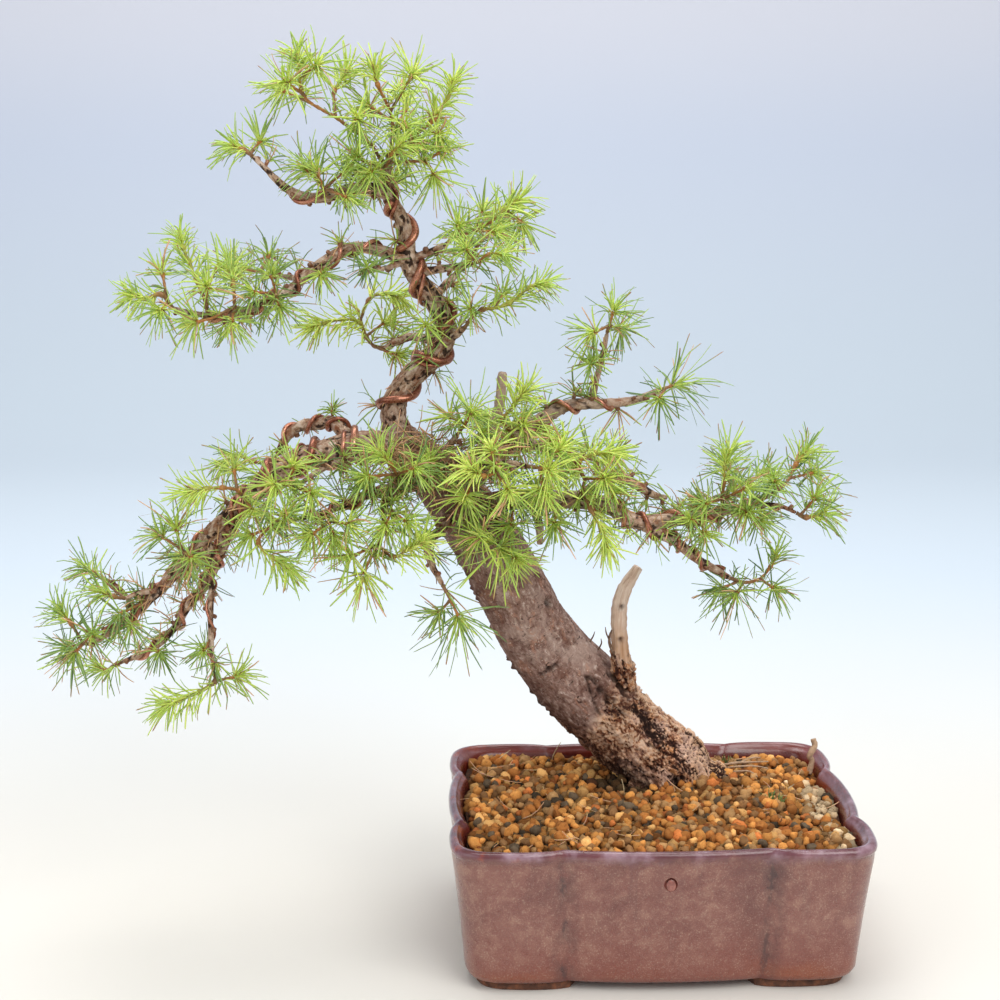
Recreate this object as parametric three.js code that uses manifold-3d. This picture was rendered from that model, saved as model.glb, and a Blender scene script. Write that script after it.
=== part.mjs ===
// European larch bonsai in its mokko-shaped pot.
// Millimetres, +Z up. The tables below are in the pot's own frame: x = 0 and y = 0 at the
// middle of the pot, z = 0 on the table, the show side towards -Y. The finished group is moved
// so that the middle of the bottom of the whole object is the origin.

import * as THREE from 'three';
import { mergeVertices } from 'three/addons/utils/BufferGeometryUtils.js';
import Module from 'manifold-3d';

// Pot
const POT_WIDTH = 220;
const POT_DEPTH = 172;
const POT_HEIGHT = 79;
const FOOT_HEIGHT = 5;
const FOOT_INSET = 13;
const FOOT_BAND = 15;
const FOOT_END_X = 46;
const FOOT_END_Y = 30;
const NOTCH_X = 54;
const NOTCH_Y = 38;
const NOTCH_DEEP = 4;
const CORNER = 20;
const WALL_TAPER = 8;
const LIP_WALL = 8;
const LIP_DEEP = 8;
const LIP_PROUD = 2;
const BASE_ROUND = 4;
const INNER_DRAFT = 0.4;
const FLOOR_THICK = 7;
const DRAIN_RADIUS = 8;
const DRAIN_X = 48;
const DRAIN_SIDES = 12;

// Curves of the pot's outline: how full the bowed middles are, how sharp the notches, and the
// handles of the lobes
const BOW_SHARE = 0.6;
const NOTCH_PULL = 7;
const LOBE_FLAT = 12;
const LOBE_SIDE = 16;
const SHOULDER = 4;
const OUTLINE_STEPS = 2;

// Soil and what lies in it
const GAP = 0.3;
const SOIL_EDGE_Z = 72.5;
const SOIL_MOUND = 1.8;
const GRAIN_RELIEF = 2;
const MESH_SIDE = 30;
const MESH_THICK = 1;
const MESH_HOLES = 2;
const MESH_BAR = 3;
const HOLE_TOP_RADIUS = 31;
const HOLE_END_RADIUS = 24;
const HOLE_FLOOR_Z = 41.5;
const HOLE_OVER = 10;
const STUMP_X = 20;
const STUMP_Y = 44;
const SOIL_TOP_Z = 76;
const SOIL_RINGS = 6;
const HOLE_SIDES = 24;

// Wood and needles
const ROOT_RIDGES = 5;
const ROOT_RIDGE_SHARE = 0.07;
const ROOT_TOP_Z = 150;
const ROOT_SPAN = 60;
const LEAN_Z = 110;
const LEAN_SPAN = 24;
const LEAN_PULL = 2.2;
const SIDES_BY_RADIUS = [[10, 10], [4.2, 6], [1.8, 5], [0, 4]];
const TWIG_RADIUS = 1.1;
const SIDE_TWIG_RADIUS = 0.85;
const SHOOT_SIDES = 4;
const HUB_RADIUS = 1.45;
const HUB_HALF = 0.8;
const HUB_TIP = 0.9;
const NEEDLE_ROOT_RADIUS = 1;
const NEEDLE_TIP_RADIUS = 0.1;
const FREE_FROM = 0.22;
const NEEDLE_CLEAR = 0.3;
const TWIG_CLEAR = 0.1;
const SHORTEST_NEEDLE = 7;
const FOOT_GAP = 0.35;
const START_BEFORE = 0.3;
const AT_END = 0.98;

// How a needle leans along its twig: the lower and the upper row of a whorl, and a twig's tip
const LEAN_LOW = [-0.35, 0.15];
const LEAN_HIGH = [0.35, 0.9];
const LEAN_TIP = [1.3, 3.2];
const TIP_FROM = 1.3;
const LEAST_OUTWARD = 0.15;

// The tries at placing a needle: the share of its length, with more sway in the shorter ones
const TRIES = [1, 1, 1, 1, 0.8, 0.8, 0.6, 0.6, 0.4];
const LENGTH_DRAW = [0.88, 1.06];
const SWAY = 0.16;
const WIDE_SWAY = 0.4;

// Wires
const THICK_WIRE = 2;
const THIN_WIRE = 1.2;
const STEPS_PER_TURN = 8;
const WIRE_CLEAR = 0.55;
const WIRE_SLACK = 0.25;
const CLEAR_ROUNDS = 10;
const CLEAR_SHARES = [0, 0.25, 0.5, 0.75];

const SAME_PLACE = 0.1;
const TINY = 1e-9;

// Wood, branch after branch: each point is [x, y, z, radius]. The first point of a branch lies
// inside the branch that it grows from.
const WOOD = {
  trunk: [
    [20, 44, 42, 22], [19, 44, 76.5, 28], [8, 44, 88, 27], [-6, 44, 97, 26],
    [-17, 43, 105, 25.5], [-35, 41, 127, 23.8], [-60, 37, 158, 20.8], [-73, 33, 183, 19.6],
    [-88, 30, 212, 18.6], [-101, 27, 232, 17.6], [-113, 25, 248, 15.2], [-125, 24, 261, 11.5],
    [-134, 23, 272, 8.4], [-138, 22, 283, 6.9], [-136, 21, 294, 6.3], [-128, 20, 305, 6.1],
    [-119, 19, 313, 6.1], [-112, 18, 322, 5.9], [-110, 17, 333, 5.6], [-115, 16, 343, 5.2],
    [-123, 14, 355, 4.9], [-129, 13, 365, 4.8], [-130, 12, 375, 4.5], [-132, 10, 387, 3.9],
    [-136, 9, 395, 3.3], [-140, 7, 404, 2.9], [-137, 4, 421, 2.1],
  ],
  topLeft: [
    [-138, 8, 399, 3.4], [-147, 4, 403, 3.3], [-157, 0, 403, 3.1], [-168, -4, 399, 2.9],
    [-180, -8, 399, 2.6], [-190, -11, 404, 2.1], [-198, -13, 412, 1.7], [-205, -15, 419, 1.3],
  ],
  left: [
    [-127, 13, 365, 3.8], [-141, 6, 371, 3.4], [-157, 0, 373, 3.1], [-165, -4, 370, 3],
    [-180, -11, 360, 2.8], [-188, -14, 353, 2.7], [-203, -19, 346, 2.4], [-214, -22, 342, 2.1],
    [-228, -25, 341, 1.7], [-245, -29, 345, 1.2],
  ],
  deadTwig: [[-134, 10, 364, 1.6], [-145, -4, 362, 1.2], [-154, -12, 360, 0.8]],
  right1: [[-127, 13, 367, 2.3], [-116, 13, 371, 2], [-110, 14, 374, 1.6]],
  right2: [[-124, 13, 360, 2.6], [-112, 5, 362, 2.2], [-99, -3, 365, 1.6]],
  right3: [[-113, 17, 324, 2.8], [-107, 10, 326, 2.5], [-100, 3, 332, 1.7]],
  backMid: [
    [-112, 19, 322, 2.8], [-127, 38, 324, 2.6], [-136, 51, 320, 2.2], [-143, 60, 316, 1.6],
  ],
  upRight: [
    [-99, 25, 240, 6], [-87, 10, 261, 5.2], [-74, 2, 273, 4.6], [-61, -3, 284, 4],
    [-48, -5, 292, 3.4], [-32, -4, 293, 2.8], [-13, 0, 294, 2.3], [2, 5, 299, 1.6],
  ],
  upTwig: [[-35, -4, 293, 2.2], [-32, -5, 306, 1.8], [-29, -6, 318, 1.5], [-27, -7, 330, 1.2]],
  right: [
    [-101, 24, 230, 7], [-79, 3, 241, 5.6], [-61, -12, 244, 5], [-44, -19, 245, 4.6],
    [-31, -22, 244, 4.4], [-22, -23, 240, 4.2], [-12, -22, 234, 4], [-3, -20, 234, 3.8],
    [11, -17, 234, 3.4], [21, -14, 235, 3], [36, -10, 237, 2.5], [50, -7, 241, 2],
    [60, -5, 245, 1.5],
  ],
  rightTip: [[49, -7, 240, 1.7], [64, -12, 240, 1.4], [72, -15, 237, 1.1]],
  rightTwin: [
    [-44, -19, 245, 3.4], [-30, -11, 252, 3.2], [-20, -9, 255, 3], [-9, -9, 250, 2.6],
    [-1, -7, 245, 2], [6, -3, 243, 1.2],
  ],
  rightLow: [
    [-13, -22, 235, 3.2], [0, -22, 228, 3], [9, -20, 223, 2.8], [18, -17, 215, 2.5],
    [28, -13, 208, 2.2], [39, -9, 201, 1.6],
  ],
  rightBack: [[15, -15, 234, 2.2], [27, 4, 238, 2], [38, 20, 240, 1.4]],
  leftMain: [
    [-122, 23, 257, 9.5], [-134, 14, 267, 9], [-147, 6, 269, 8.5], [-159, 0, 270, 8.1],
    [-175, -6, 267, 7.1], [-189, -10, 264, 6], [-202, -13, 256, 5], [-213, -16, 245, 4.4],
    [-225, -19, 235, 4], [-244, -23, 215, 3.4], [-262, -27, 196, 2.8], [-279, -31, 182, 2],
    [-292, -34, 174, 1.3],
  ],
  leftCascade: [
    [-219, -17, 240, 3.6], [-224, -10, 226, 3.4], [-231, -4, 210, 3.1], [-237, 0, 198, 2.8],
    [-247, 5, 185, 2.5], [-256, 9, 171, 2.2], [-270, 13, 158, 1.9], [-291, 18, 148, 1.2],
  ],
  hanging: [
    [-232, -20, 227, 2], [-231, -22, 207, 1.8], [-232, -24, 180, 1.6], [-231, -26, 156, 1.2],
  ],
  cascadeTwig: [[-259, -26, 200, 1.8], [-266, -33, 201, 1.5], [-273, -37, 199, 1.1]],
  cascadeSpur: [[-269, -28, 190, 1.7], [-278, -24, 201, 1.4], [-288, -21, 207, 0.9]],
  arch: [
    [-156, 2, 269, 5], [-164, 12, 276, 4], [-170, 18, 281, 3.6], [-178, 22, 279, 3.4],
    [-186, 25, 278, 3.1], [-194, 28, 273, 2.7], [-201, 31, 261, 1.8],
  ],
  archTwig: [[-150, 4, 266, 3], [-158, -12, 266, 2.4], [-169, -24, 265, 2], [-182, -33, 258, 1.4]],
  lowTwig: [
    [-113, 24, 247, 4], [-129, 4, 248, 3], [-146, -12, 249, 2.6], [-158, -20, 245, 2.2],
    [-172, -28, 241, 1.8], [-184, -34, 239, 1.4],
  ],
  frontLow: [
    [-105, 24, 232, 3.5], [-113, -2, 226, 2.9], [-120, -14, 221, 2.4], [-118, -20, 213, 1.9],
    [-112, -25, 202, 1.4],
  ],
  centre: [
    [-110, 22, 246, 4.6], [-107, -6, 259, 3.8], [-98, -20, 265, 3.2], [-83, -31, 267, 2.6],
    [-69, -37, 266, 1.8],
  ],
  centreUp: [[-107, -4, 258, 2.8], [-109, -8, 269, 2.3], [-104, -15, 279, 1.6]],
  frontLeft: [[-118, 22, 252, 4], [-128, 0, 257, 3.3], [-134, -14, 255, 2.7], [-138, -25, 247, 1.6]],
  frontLeftLow: [[-136, -18, 253, 2.2], [-141, -21, 243, 1.9], [-142, -23, 236, 1.5]],
  centreLow: [[-93, 22, 222, 3.5], [-86, 0, 230, 2.8], [-83, -12, 229, 2.3], [-83, -21, 224, 1.5]],
  backCentre: [
    [-100, 30, 240, 5], [-86, 58, 256, 4], [-71, 76, 259, 3], [-56, 92, 253, 1.6],
  ],
  backLeft: [[-122, 26, 258, 4.5], [-133, 54, 262, 3.4], [-143, 70, 260, 2.4], [-151, 81, 257, 1.5]],
  backUpper: [[-117, 15, 346, 2.6], [-108, 28, 354, 2.2], [-98, 40, 364, 1.5]],
  backRight: [[-74, 2, 273, 3], [-57, 24, 266, 2.6], [-43, 40, 260, 2.1], [-31, 52, 255, 1.4]],
  leftBack: [[-178, -5, 266, 3.6], [-190, 22, 254, 2.8], [-200, 40, 243, 2.3], [-209, 54, 232, 1.5]],
  leftUpBack: [[-183, -11, 358, 1.9], [-192, 8, 358, 1.6], [-202, 22, 358, 1.2]],
  jin: [
    [-6, 42, 120, 6], [-9, 28, 141, 5], [-14, 26, 154, 4.4], [-16, 25, 177, 3.8],
    [-14, 24, 187, 3.5], [-11, 24, 193, 2.8], [-6, 24, 199, 1.2],
  ],
  stub: [[-104, 24, 244, 5], [-90, 16, 268, 3.6], [-83, 13, 285, 3.1], [-80, 11, 308, 2.5]],
  downStub: [[-66, -9, 243, 3], [-62, -11, 232, 2.4], [-61, -11, 220, 1.8]],
};

// Shoots: [x, y, z] is a bend, [x, y, z, length] carries a whorl of needles of that length.
// The first shoot of a spray stands on the named wood, the others grow out of a shoot before.
const SPRAYS = {
  crown_left: ['trunk', [
    [[-140, 5, 414], [-148, 0, 426], [-156, -5, 432], [-164, -9, 438], [-176, -14, 445],
      [-180, -16, 451, 19], [-181, -14, 463, 18], [-182, -12, 471, 16]],
    [[-178, -15, 448], [-186, -24, 454, 20]],
    [[-180, -15, 457], [-173, -22, 462, 18]],
    [[-164, -9, 438], [-165, 2, 451, 17], [-159, 8, 461, 15]],
    [[-156, -5, 432], [-153, -18, 437, 20]],
    [[-176, -14, 445], [-190, -3, 451, 17]],
  ]],
  crown_mid: ['trunk', [
    [[-137, 4, 421], [-136, 3, 431], [-137, 1, 441], [-143, -3, 454, 20], [-145, -4, 464, 17]],
    [[-137, 1, 441], [-126, -7, 458, 19]],
    [[-136, 3, 431], [-134, 18, 436], [-130, 34, 443, 18], [-132, 42, 452, 17]],
    [[-136, 3, 431], [-131, -12, 433, 17]],
  ]],
  crown_right: ['trunk', [
    [[-137, 5, 417], [-128, 3, 426], [-121, 1, 432], [-115, 0, 437, 18], [-108, 0, 448, 19],
      [-105, 0, 457, 17]],
    [[-121, 1, 432], [-113, -10, 430, 16]],
    [[-121, 1, 432], [-115, 16, 440, 17]],
  ]],
  crown_front: ['trunk', [
    [[-140, 6, 408], [-140, -4, 412], [-138, -10, 416], [-136, -18, 420, 18],
      [-131, -23, 425, 17]],
    [[-138, -10, 416], [-120, -12, 416], [-115, -17, 410, 21]],
    [[-140, -4, 412], [-146, -16, 411, 19]],
  ]],
  b1_end: ['topLeft', [
    [[-205, -15, 419], [-209, -17, 422, 18], [-215, -18, 424, 17]],
    [[-206, -16, 420], [-202, -7, 426, 16]],
  ]],
  b1_mid: ['topLeft', [
    [[-169, -5, 399], [-170, -14, 403], [-173, -16, 411, 21]],
    [[-170, -14, 403], [-160, -13, 411, 19]],
    [[-170, -14, 403], [-158, -22, 399, 15]],
  ]],
  r1: ['right1', [
    [[-110, 14, 374], [-103, 12, 379], [-95, 15, 381], [-86, 19, 386, 17], [-79, 22, 392, 19],
      [-71, 25, 397, 18]],
    [[-103, 12, 379], [-103, 2, 384, 19]],
    [[-95, 15, 381], [-90, 31, 390, 18]],
  ]],
  r2: ['right2', [
    [[-99, -3, 365], [-94, -8, 366], [-88, -13, 370, 18], [-80, -16, 371, 17]],
    [[-94, -8, 366], [-99, -14, 373, 16]],
  ]],
  r3: ['right3', [
    [[-100, 3, 332], [-96, -2, 338], [-91, -6, 342], [-85, -9, 343], [-77, -12, 346, 19],
      [-67, -15, 354, 19]],
    [[-96, -2, 338], [-97, -11, 343, 14]],
    [[-85, -9, 343], [-80, 0, 349, 17]],
  ]],
  back_mid: ['backMid', [
    [[-143, 60, 316], [-149, 62, 316], [-154, 60, 322], [-157, 56, 330], [-166, 52, 332, 19],
      [-176, 50, 330, 18]],
    [[-154, 60, 322], [-142, 64, 330], [-135, 58, 342, 18]],
    [[-149, 62, 316], [-137, 55, 310, 16]],
  ]],
  left_tip: ['left', [
    [[-245, -29, 345], [-250, -31, 352, 20], [-258, -32, 350, 18], [-267, -34, 352, 16]],
    [[-247, -30, 348], [-249, -39, 345, 19]],
    [[-247, -30, 348], [-250, -25, 364, 18]],
  ]],
  left_shoot: ['left', [
    [[-228, -25, 341], [-228, -32, 348], [-231, -26, 353], [-234, -20, 358, 19],
      [-239, -16, 369, 19], [-243, -14, 379, 17], [-247, -12, 388, 16]],
    [[-228, -32, 348], [-226, -39, 356, 21]],
    [[-231, -26, 353], [-224, -11, 364, 18]],
  ]],
  left_pad: ['left', [
    [[-214, -22, 342], [-214, -30, 346], [-214, -33, 356, 19], [-216, -24, 366, 19]],
    [[-214, -30, 346], [-215, -36, 339, 17]],
    [[-214, -30, 346], [-224, -36, 341], [-232, -39, 339, 19]],
  ]],
  left_in: ['left', [
    [[-195, -17, 349], [-194, -26, 352], [-196, -27, 361, 19]],
    [[-194, -26, 352], [-192, -32, 346, 18]],
    [[-194, -26, 352], [-204, -33, 353, 17]],
  ]],
  left_back: ['leftUpBack', [
    [[-202, 22, 358], [-208, 31, 359], [-214, 36, 360, 18], [-222, 43, 362, 17]],
    [[-208, 31, 359], [-204, 41, 367, 17]],
  ]],
  arch_end: ['arch', [
    [[-201, 31, 261], [-207, 33, 257], [-215, 34, 257, 18], [-224, 36, 260, 18],
      [-233, 38, 255, 17]],
    [[-207, 33, 257], [-213, 43, 248, 18]],
  ]],
  left_fan: ['leftMain', [
    [[-211, -15, 246], [-213, -28, 249], [-215, -34, 254], [-222, -38, 256, 20],
      [-230, -40, 256, 19], [-238, -40, 254, 17]],
    [[-213, -28, 249], [-207, -39, 245, 18]],
    [[-215, -34, 254], [-217, -29, 264, 18]],
  ]],
  left_low: ['lowTwig', [
    [[-184, -34, 239], [-192, -38, 239], [-199, -42, 236], [-204, -44, 229, 18],
      [-197, -47, 222, 19], [-189, -49, 217, 18]],
    [[-192, -38, 239], [-190, -48, 244, 18]],
  ]],
  arch_twig: ['archTwig', [
    [[-182, -33, 258], [-188, -38, 257], [-194, -50, 260, 21]],
    [[-188, -38, 257], [-186, -43, 267, 17]],
    [[-188, -38, 257], [-177, -47, 255, 18]],
  ]],
  left_main_back: ['leftBack', [
    [[-209, 54, 232], [-213, 59, 227], [-219, 64, 222, 18], [-227, 71, 224, 17]],
    [[-213, 59, 227], [-206, 67, 217, 18]],
  ]],
  cascade_top: ['leftMain', [
    [[-242, -23, 217], [-244, -32, 223], [-246, -35, 234, 21]],
    [[-244, -32, 223], [-254, -32, 230, 17]],
    [[-244, -32, 223], [-238, -42, 221, 16]],
  ]],
  cascade_end: ['leftMain', [
    [[-292, -34, 174], [-295, -36, 175], [-299, -38, 171, 19]],
    [[-295, -36, 175], [-302, -32, 185, 18], [-308, -30, 191, 17]],
    [[-295, -36, 175], [-289, -44, 182, 18]],
  ]],
  cascade_twig: ['cascadeTwig', [
    [[-273, -37, 199], [-278, -41, 201, 18], [-285, -44, 205, 17]],
  ]],
  low_cascade_end: ['leftCascade', [
    [[-291, 18, 148], [-295, 17, 145, 20], [-301, 20, 147, 17]],
  ]],
  hanging_end: ['hanging', [
    [[-231, -26, 156], [-230, -27, 152], [-238, -29, 147, 20], [-248, -30, 143, 19],
      [-257, -30, 139, 17]],
    [[-230, -27, 152], [-220, -22, 153, 18]],
  ]],
  cascade_back: ['leftCascade', [
    [[-232, -3, 208], [-238, 12, 210], [-248, 24, 209, 18], [-258, 34, 204, 17]],
    [[-238, 12, 210], [-234, 26, 212, 18]],
  ]],
  front_left_low: ['frontLeftLow', [
    [[-142, -23, 236], [-145, -27, 224], [-149, -30, 217], [-152, -34, 210, 22]],
    [[-145, -27, 224], [-137, -38, 220, 19], [-129, -43, 225, 18], [-121, -46, 230, 17]],
    [[-145, -27, 224], [-158, -36, 220, 18]],
  ]],
  front_left_end: ['frontLeft', [
    [[-138, -25, 247], [-138, -32, 243], [-140, -39, 237, 20]],
    [[-138, -32, 243], [-130, -41, 239, 18]],
  ]],
  front_left_up: ['frontLeft', [
    [[-134, -14, 255], [-135, -24, 260], [-138, -30, 266, 19], [-145, -32, 274, 18]],
    [[-135, -24, 260], [-126, -37, 265, 19]],
    [[-135, -24, 260], [-149, -36, 261, 18]],
  ]],
  low_mid: ['lowTwig', [
    [[-170, -27, 242], [-169, -35, 238], [-167, -39, 232, 21]],
    [[-169, -35, 238], [-159, -43, 238, 18]],
    [[-169, -35, 238], [-177, -43, 233, 17]],
  ]],
  front_hang: ['frontLow', [
    [[-112, -25, 202], [-108, -28, 195], [-104, -31, 187, 23]],
    [[-108, -28, 195], [-114, -25, 187, 17]],
  ]],
  centre_up: ['centreUp', [
    [[-104, -15, 279], [-100, -20, 285], [-97, -25, 291, 22]],
    [[-100, -20, 285], [-108, -13, 288, 17]],
  ]],
  centre_shoot: ['upRight', [
    [[-74, 2, 273], [-77, -12, 280], [-81, -18, 287, 18], [-75, -20, 295, 18],
      [-69, -22, 303, 17]],
    [[-77, -12, 280], [-71, -25, 285, 18]],
  ]],
  centre_end: ['centre', [
    [[-69, -37, 266], [-63, -42, 266], [-59, -51, 266, 22]],
    [[-63, -42, 266], [-54, -44, 275, 18]],
    [[-63, -42, 266], [-62, -50, 257, 17]],
  ]],
  centre_left: ['centre', [
    [[-86, -29, 267], [-85, -40, 264], [-91, -47, 263, 19], [-99, -52, 268, 17]],
    [[-85, -40, 264], [-87, -45, 275, 19]],
    [[-85, -40, 264], [-79, -52, 257, 18]],
  ]],
  centre_right: ['right', [
    [[-43, -19, 245], [-41, -30, 252], [-40, -34, 259], [-43, -38, 268, 19],
      [-34, -40, 273, 19], [-26, -40, 273, 17]],
    [[-41, -30, 252], [-37, -38, 244, 19], [-32, -42, 235, 19], [-29, -44, 226, 17]],
    [[-40, -34, 259], [-31, -45, 261, 18]],
  ]],
  centre_low: ['centreLow', [
    [[-83, -21, 224], [-83, -27, 222, 23]],
    [[-83, -24, 223], [-92, -33, 229, 18]],
    [[-83, -24, 223], [-75, -31, 217, 17]],
  ]],
  up_end: ['upTwig', [
    [[-27, -7, 330], [-26, -8, 334], [-24, -8, 341, 19]],
    [[-26, -8, 334], [-34, -14, 331, 19]],
    [[-26, -8, 334], [-19, 1, 331, 18]],
  ]],
  up_tip: ['upRight', [
    [[2, 5, 299], [9, 6, 301, 29]],
    [[5, 5, 300], [1, -5, 296, 19]],
  ]],
  right_up: ['right', [
    [[35, -10, 237], [33, -17, 245], [33, -20, 254, 19], [33, -22, 263, 19], [35, -22, 272, 17]],
    [[33, -17, 245], [23, -25, 244, 15]],
    [[33, -17, 245], [43, -26, 252, 18]],
  ]],
  right_end: ['right', [
    [[60, -5, 245], [64, -7, 248], [70, -3, 253], [74, 0, 260, 19], [80, 2, 267, 18]],
    [[64, -7, 248], [60, -15, 254, 20]],
    [[70, -3, 253], [84, 7, 254, 19]],
  ]],
  right_tip: ['rightTip', [
    [[72, -15, 237], [77, -17, 235, 26], [86, -20, 238, 20]],
    [[74, -16, 236], [80, -22, 246, 20]],
  ]],
  right_low: ['rightLow', [
    [[39, -9, 201], [47, -7, 198], [56, -3, 199], [62, -1, 205, 18], [65, -2, 212, 16]],
    [[47, -7, 198], [42, -16, 195, 24]],
    [[56, -3, 199], [62, -11, 196, 17]],
  ]],
  right_back: ['rightBack', [
    [[38, 20, 240], [46, 28, 242], [58, 38, 245, 19], [67, 44, 248, 18]],
    [[46, 28, 242], [43, 35, 252, 18]],
  ]],
  back_centre: ['backCentre', [
    [[-56, 92, 253], [-52, 96, 251], [-46, 101, 247, 19], [-38, 107, 243, 18]],
    [[-52, 96, 251], [-55, 105, 259, 18]],
  ]],
  back_inner: ['backCentre', [
    [[-73, 74, 259], [-76, 80, 268], [-81, 89, 274, 19], [-89, 96, 271, 18]],
    [[-76, 80, 268], [-67, 92, 271, 18]],
  ]],
  back_left: ['backLeft', [
    [[-151, 81, 257], [-155, 86, 256], [-163, 90, 255, 19], [-171, 94, 250, 18]],
    [[-155, 86, 256], [-150, 98, 254, 18]],
  ]],
  back_upper: ['backUpper', [
    [[-98, 40, 364], [-93, 48, 371], [-87, 56, 377, 19], [-80, 62, 382, 18]],
    [[-93, 48, 371], [-99, 60, 377, 18]],
  ]],
  back_right: ['backRight', [
    [[-31, 52, 255], [-27, 56, 253], [-21, 60, 252, 19], [-14, 66, 256, 18]],
    [[-27, 56, 253], [-30, 67, 257, 18]],
  ]],
};

// Wires wound round the wood: branch, first and last place along it (point number, with a
// fraction), turns and wire radius.
const WIRES = {
  wire_trunk: ['trunk', 13.2, 24.2, 6.5, THICK_WIRE],
  wire_left_main: ['leftMain', 2.4, 8.2, 5, THICK_WIRE],
  wire_arch: ['arch', 1.2, 5.6, 3.5, THIN_WIRE],
  wire_left: ['left', 1.3, 7.2, 6, THIN_WIRE],
  wire_top_left: ['topLeft', 1.6, 5.4, 3.5, THIN_WIRE],
  wire_right: ['right', 5.4, 10.4, 5, THIN_WIRE],
};

const wasm = await Module();
wasm.setup();

let seed = 20;

// A seeded draw from low to high.
function draw(low, high) {
  seed = (seed * 1664525 + 1013904223) % 4294967296;
  return low + (high - low) * (seed / 4294967296);
}

function vec(point) {
  return new THREE.Vector3(point[0], point[1], point[2]);
}

// Booleans

function solidOf(geometry) {
  const bare = geometry.clone();
  bare.deleteAttribute('normal');
  bare.deleteAttribute('uv');
  const merged = mergeVertices(bare, 1e-4);
  return new wasm.Manifold(new wasm.Mesh({
    numProp: 3,
    vertProperties: new Float32Array(merged.attributes.position.array),
    triVerts: new Uint32Array(merged.index.array),
  }));
}

function geometryOf(solid) {
  const mesh = solid.getMesh();
  const geometry = new THREE.BufferGeometry();
  geometry.setAttribute('position', new THREE.BufferAttribute(mesh.vertProperties, 3));
  geometry.setIndex(new THREE.BufferAttribute(mesh.triVerts, 1));
  geometry.computeVertexNormals();
  return geometry;
}

function unite(geometries) {
  return geometries.map(solidOf).reduce((sum, solid) => sum.add(solid));
}

function geometryFrom(positions, faces) {
  const geometry = new THREE.BufferGeometry();
  geometry.setAttribute('position', new THREE.Float32BufferAttribute(positions, 3));
  geometry.setIndex(faces);
  return geometry;
}

// Lofts through flat rings of points, closed at both ends

function loft(rings) {
  const count = rings[0].length;
  const positions = [];
  const faces = [];
  for (const ring of rings) {
    for (const point of ring) positions.push(point.x, point.y, point.z);
  }
  for (let level = 0; level + 1 < rings.length; level += 1) {
    for (let side = 0; side < count; side += 1) {
      const next = (side + 1) % count;
      const a = level * count + side;
      const b = level * count + next;
      faces.push(a, b, b + count, a, b + count, a + count);
    }
  }
  closeEnd(rings[0], 0, true, faces);
  closeEnd(rings[rings.length - 1], (rings.length - 1) * count, false, faces);
  return geometryFrom(positions, faces);
}

function closeEnd(ring, first, start, faces) {
  for (let side = 1; side + 1 < ring.length; side += 1) {
    if (start) faces.push(first, first + side + 1, first + side);
    else faces.push(first, first + side, first + side + 1);
  }
}

// Frames carried along a line of points without twist
function framesAlong(points, firstNormal) {
  const frames = [];
  let side = new THREE.Vector3(0.31, 0.89, 0.33);
  for (let index = 0; index < points.length; index += 1) {
    const before = points[Math.max(index - 1, 0)];
    const after = points[Math.min(index + 1, points.length - 1)];
    const along = after.clone().sub(before).normalize();
    if (index === 0 && firstNormal) along.copy(firstNormal);
    side = side.clone().addScaledVector(along, -side.dot(along)).normalize();
    frames.push({ at: points[index], along, side, up: along.clone().cross(side) });
  }
  return frames;
}

function ringAt(frame, radius, sides) {
  const ring = [];
  for (let index = 0; index < sides; index += 1) {
    const angle = (2 * Math.PI * index) / sides;
    const reach = typeof radius === 'function' ? radius(angle) : radius;
    ring.push(frame.at.clone()
      .addScaledVector(frame.side, reach * Math.cos(angle))
      .addScaledVector(frame.up, reach * Math.sin(angle)));
  }
  return ring;
}

// Pot

// The mokko outline: a bowed middle on each side, a lobe round each corner and a notch between
// them. One quarter is drawn and mirrored. Points run anticlockwise seen from above.
function potOutline() {
  const halfX = POT_WIDTH / 2;
  const halfY = POT_DEPTH / 2;
  const notchX = halfX - NOTCH_DEEP;
  const notchY = halfY - NOTCH_DEEP;
  const quarter = new THREE.Path();
  quarter.moveTo(0, -halfY);
  quarter.quadraticCurveTo(NOTCH_X * BOW_SHARE, -halfY, NOTCH_X, -notchY);
  quarter.bezierCurveTo(NOTCH_X + NOTCH_PULL, -halfY, halfX - CORNER - LOBE_FLAT, -halfY,
    halfX - CORNER + SHOULDER, -halfY + SHOULDER / 2);
  quarter.bezierCurveTo(halfX - SHOULDER * 2, -halfY + SHOULDER, halfX - SHOULDER / 2,
    -halfY + SHOULDER * 2, halfX - SHOULDER / 4, -halfY + CORNER);
  quarter.bezierCurveTo(halfX, -NOTCH_Y - LOBE_SIDE, halfX, -NOTCH_Y - NOTCH_PULL,
    notchX, -NOTCH_Y);
  quarter.quadraticCurveTo(halfX, -NOTCH_Y * BOW_SHARE, halfX, 0);
  const points = quarter.getPoints(OUTLINE_STEPS);
  const right = points.concat(points.slice(0, -1).reverse().map((p) => mirrored(p, 1, -1)));
  const left = right.slice(1, -1).reverse().map((p) => mirrored(p, -1, 1));
  return right.concat(left);
}

function mirrored(point, signX, signY) {
  return new THREE.Vector2(point.x * signX, point.y * signY);
}

// The outline moved inwards by a distance
function inset(outline, distance) {
  const count = outline.length;
  return outline.map((point, index) => {
    const before = outline[(index + count - 1) % count];
    const after = outline[(index + 1) % count];
    const first = new THREE.Vector2(before.y - point.y, point.x - before.x).normalize();
    const second = new THREE.Vector2(point.y - after.y, after.x - point.x).normalize();
    const inward = first.add(second);
    inward.multiplyScalar(2 / inward.lengthSq());
    return point.clone().addScaledVector(inward, distance);
  });
}

function levelRing(points, z) {
  return points.map((point) => new THREE.Vector3(point.x, point.y, z));
}

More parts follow.
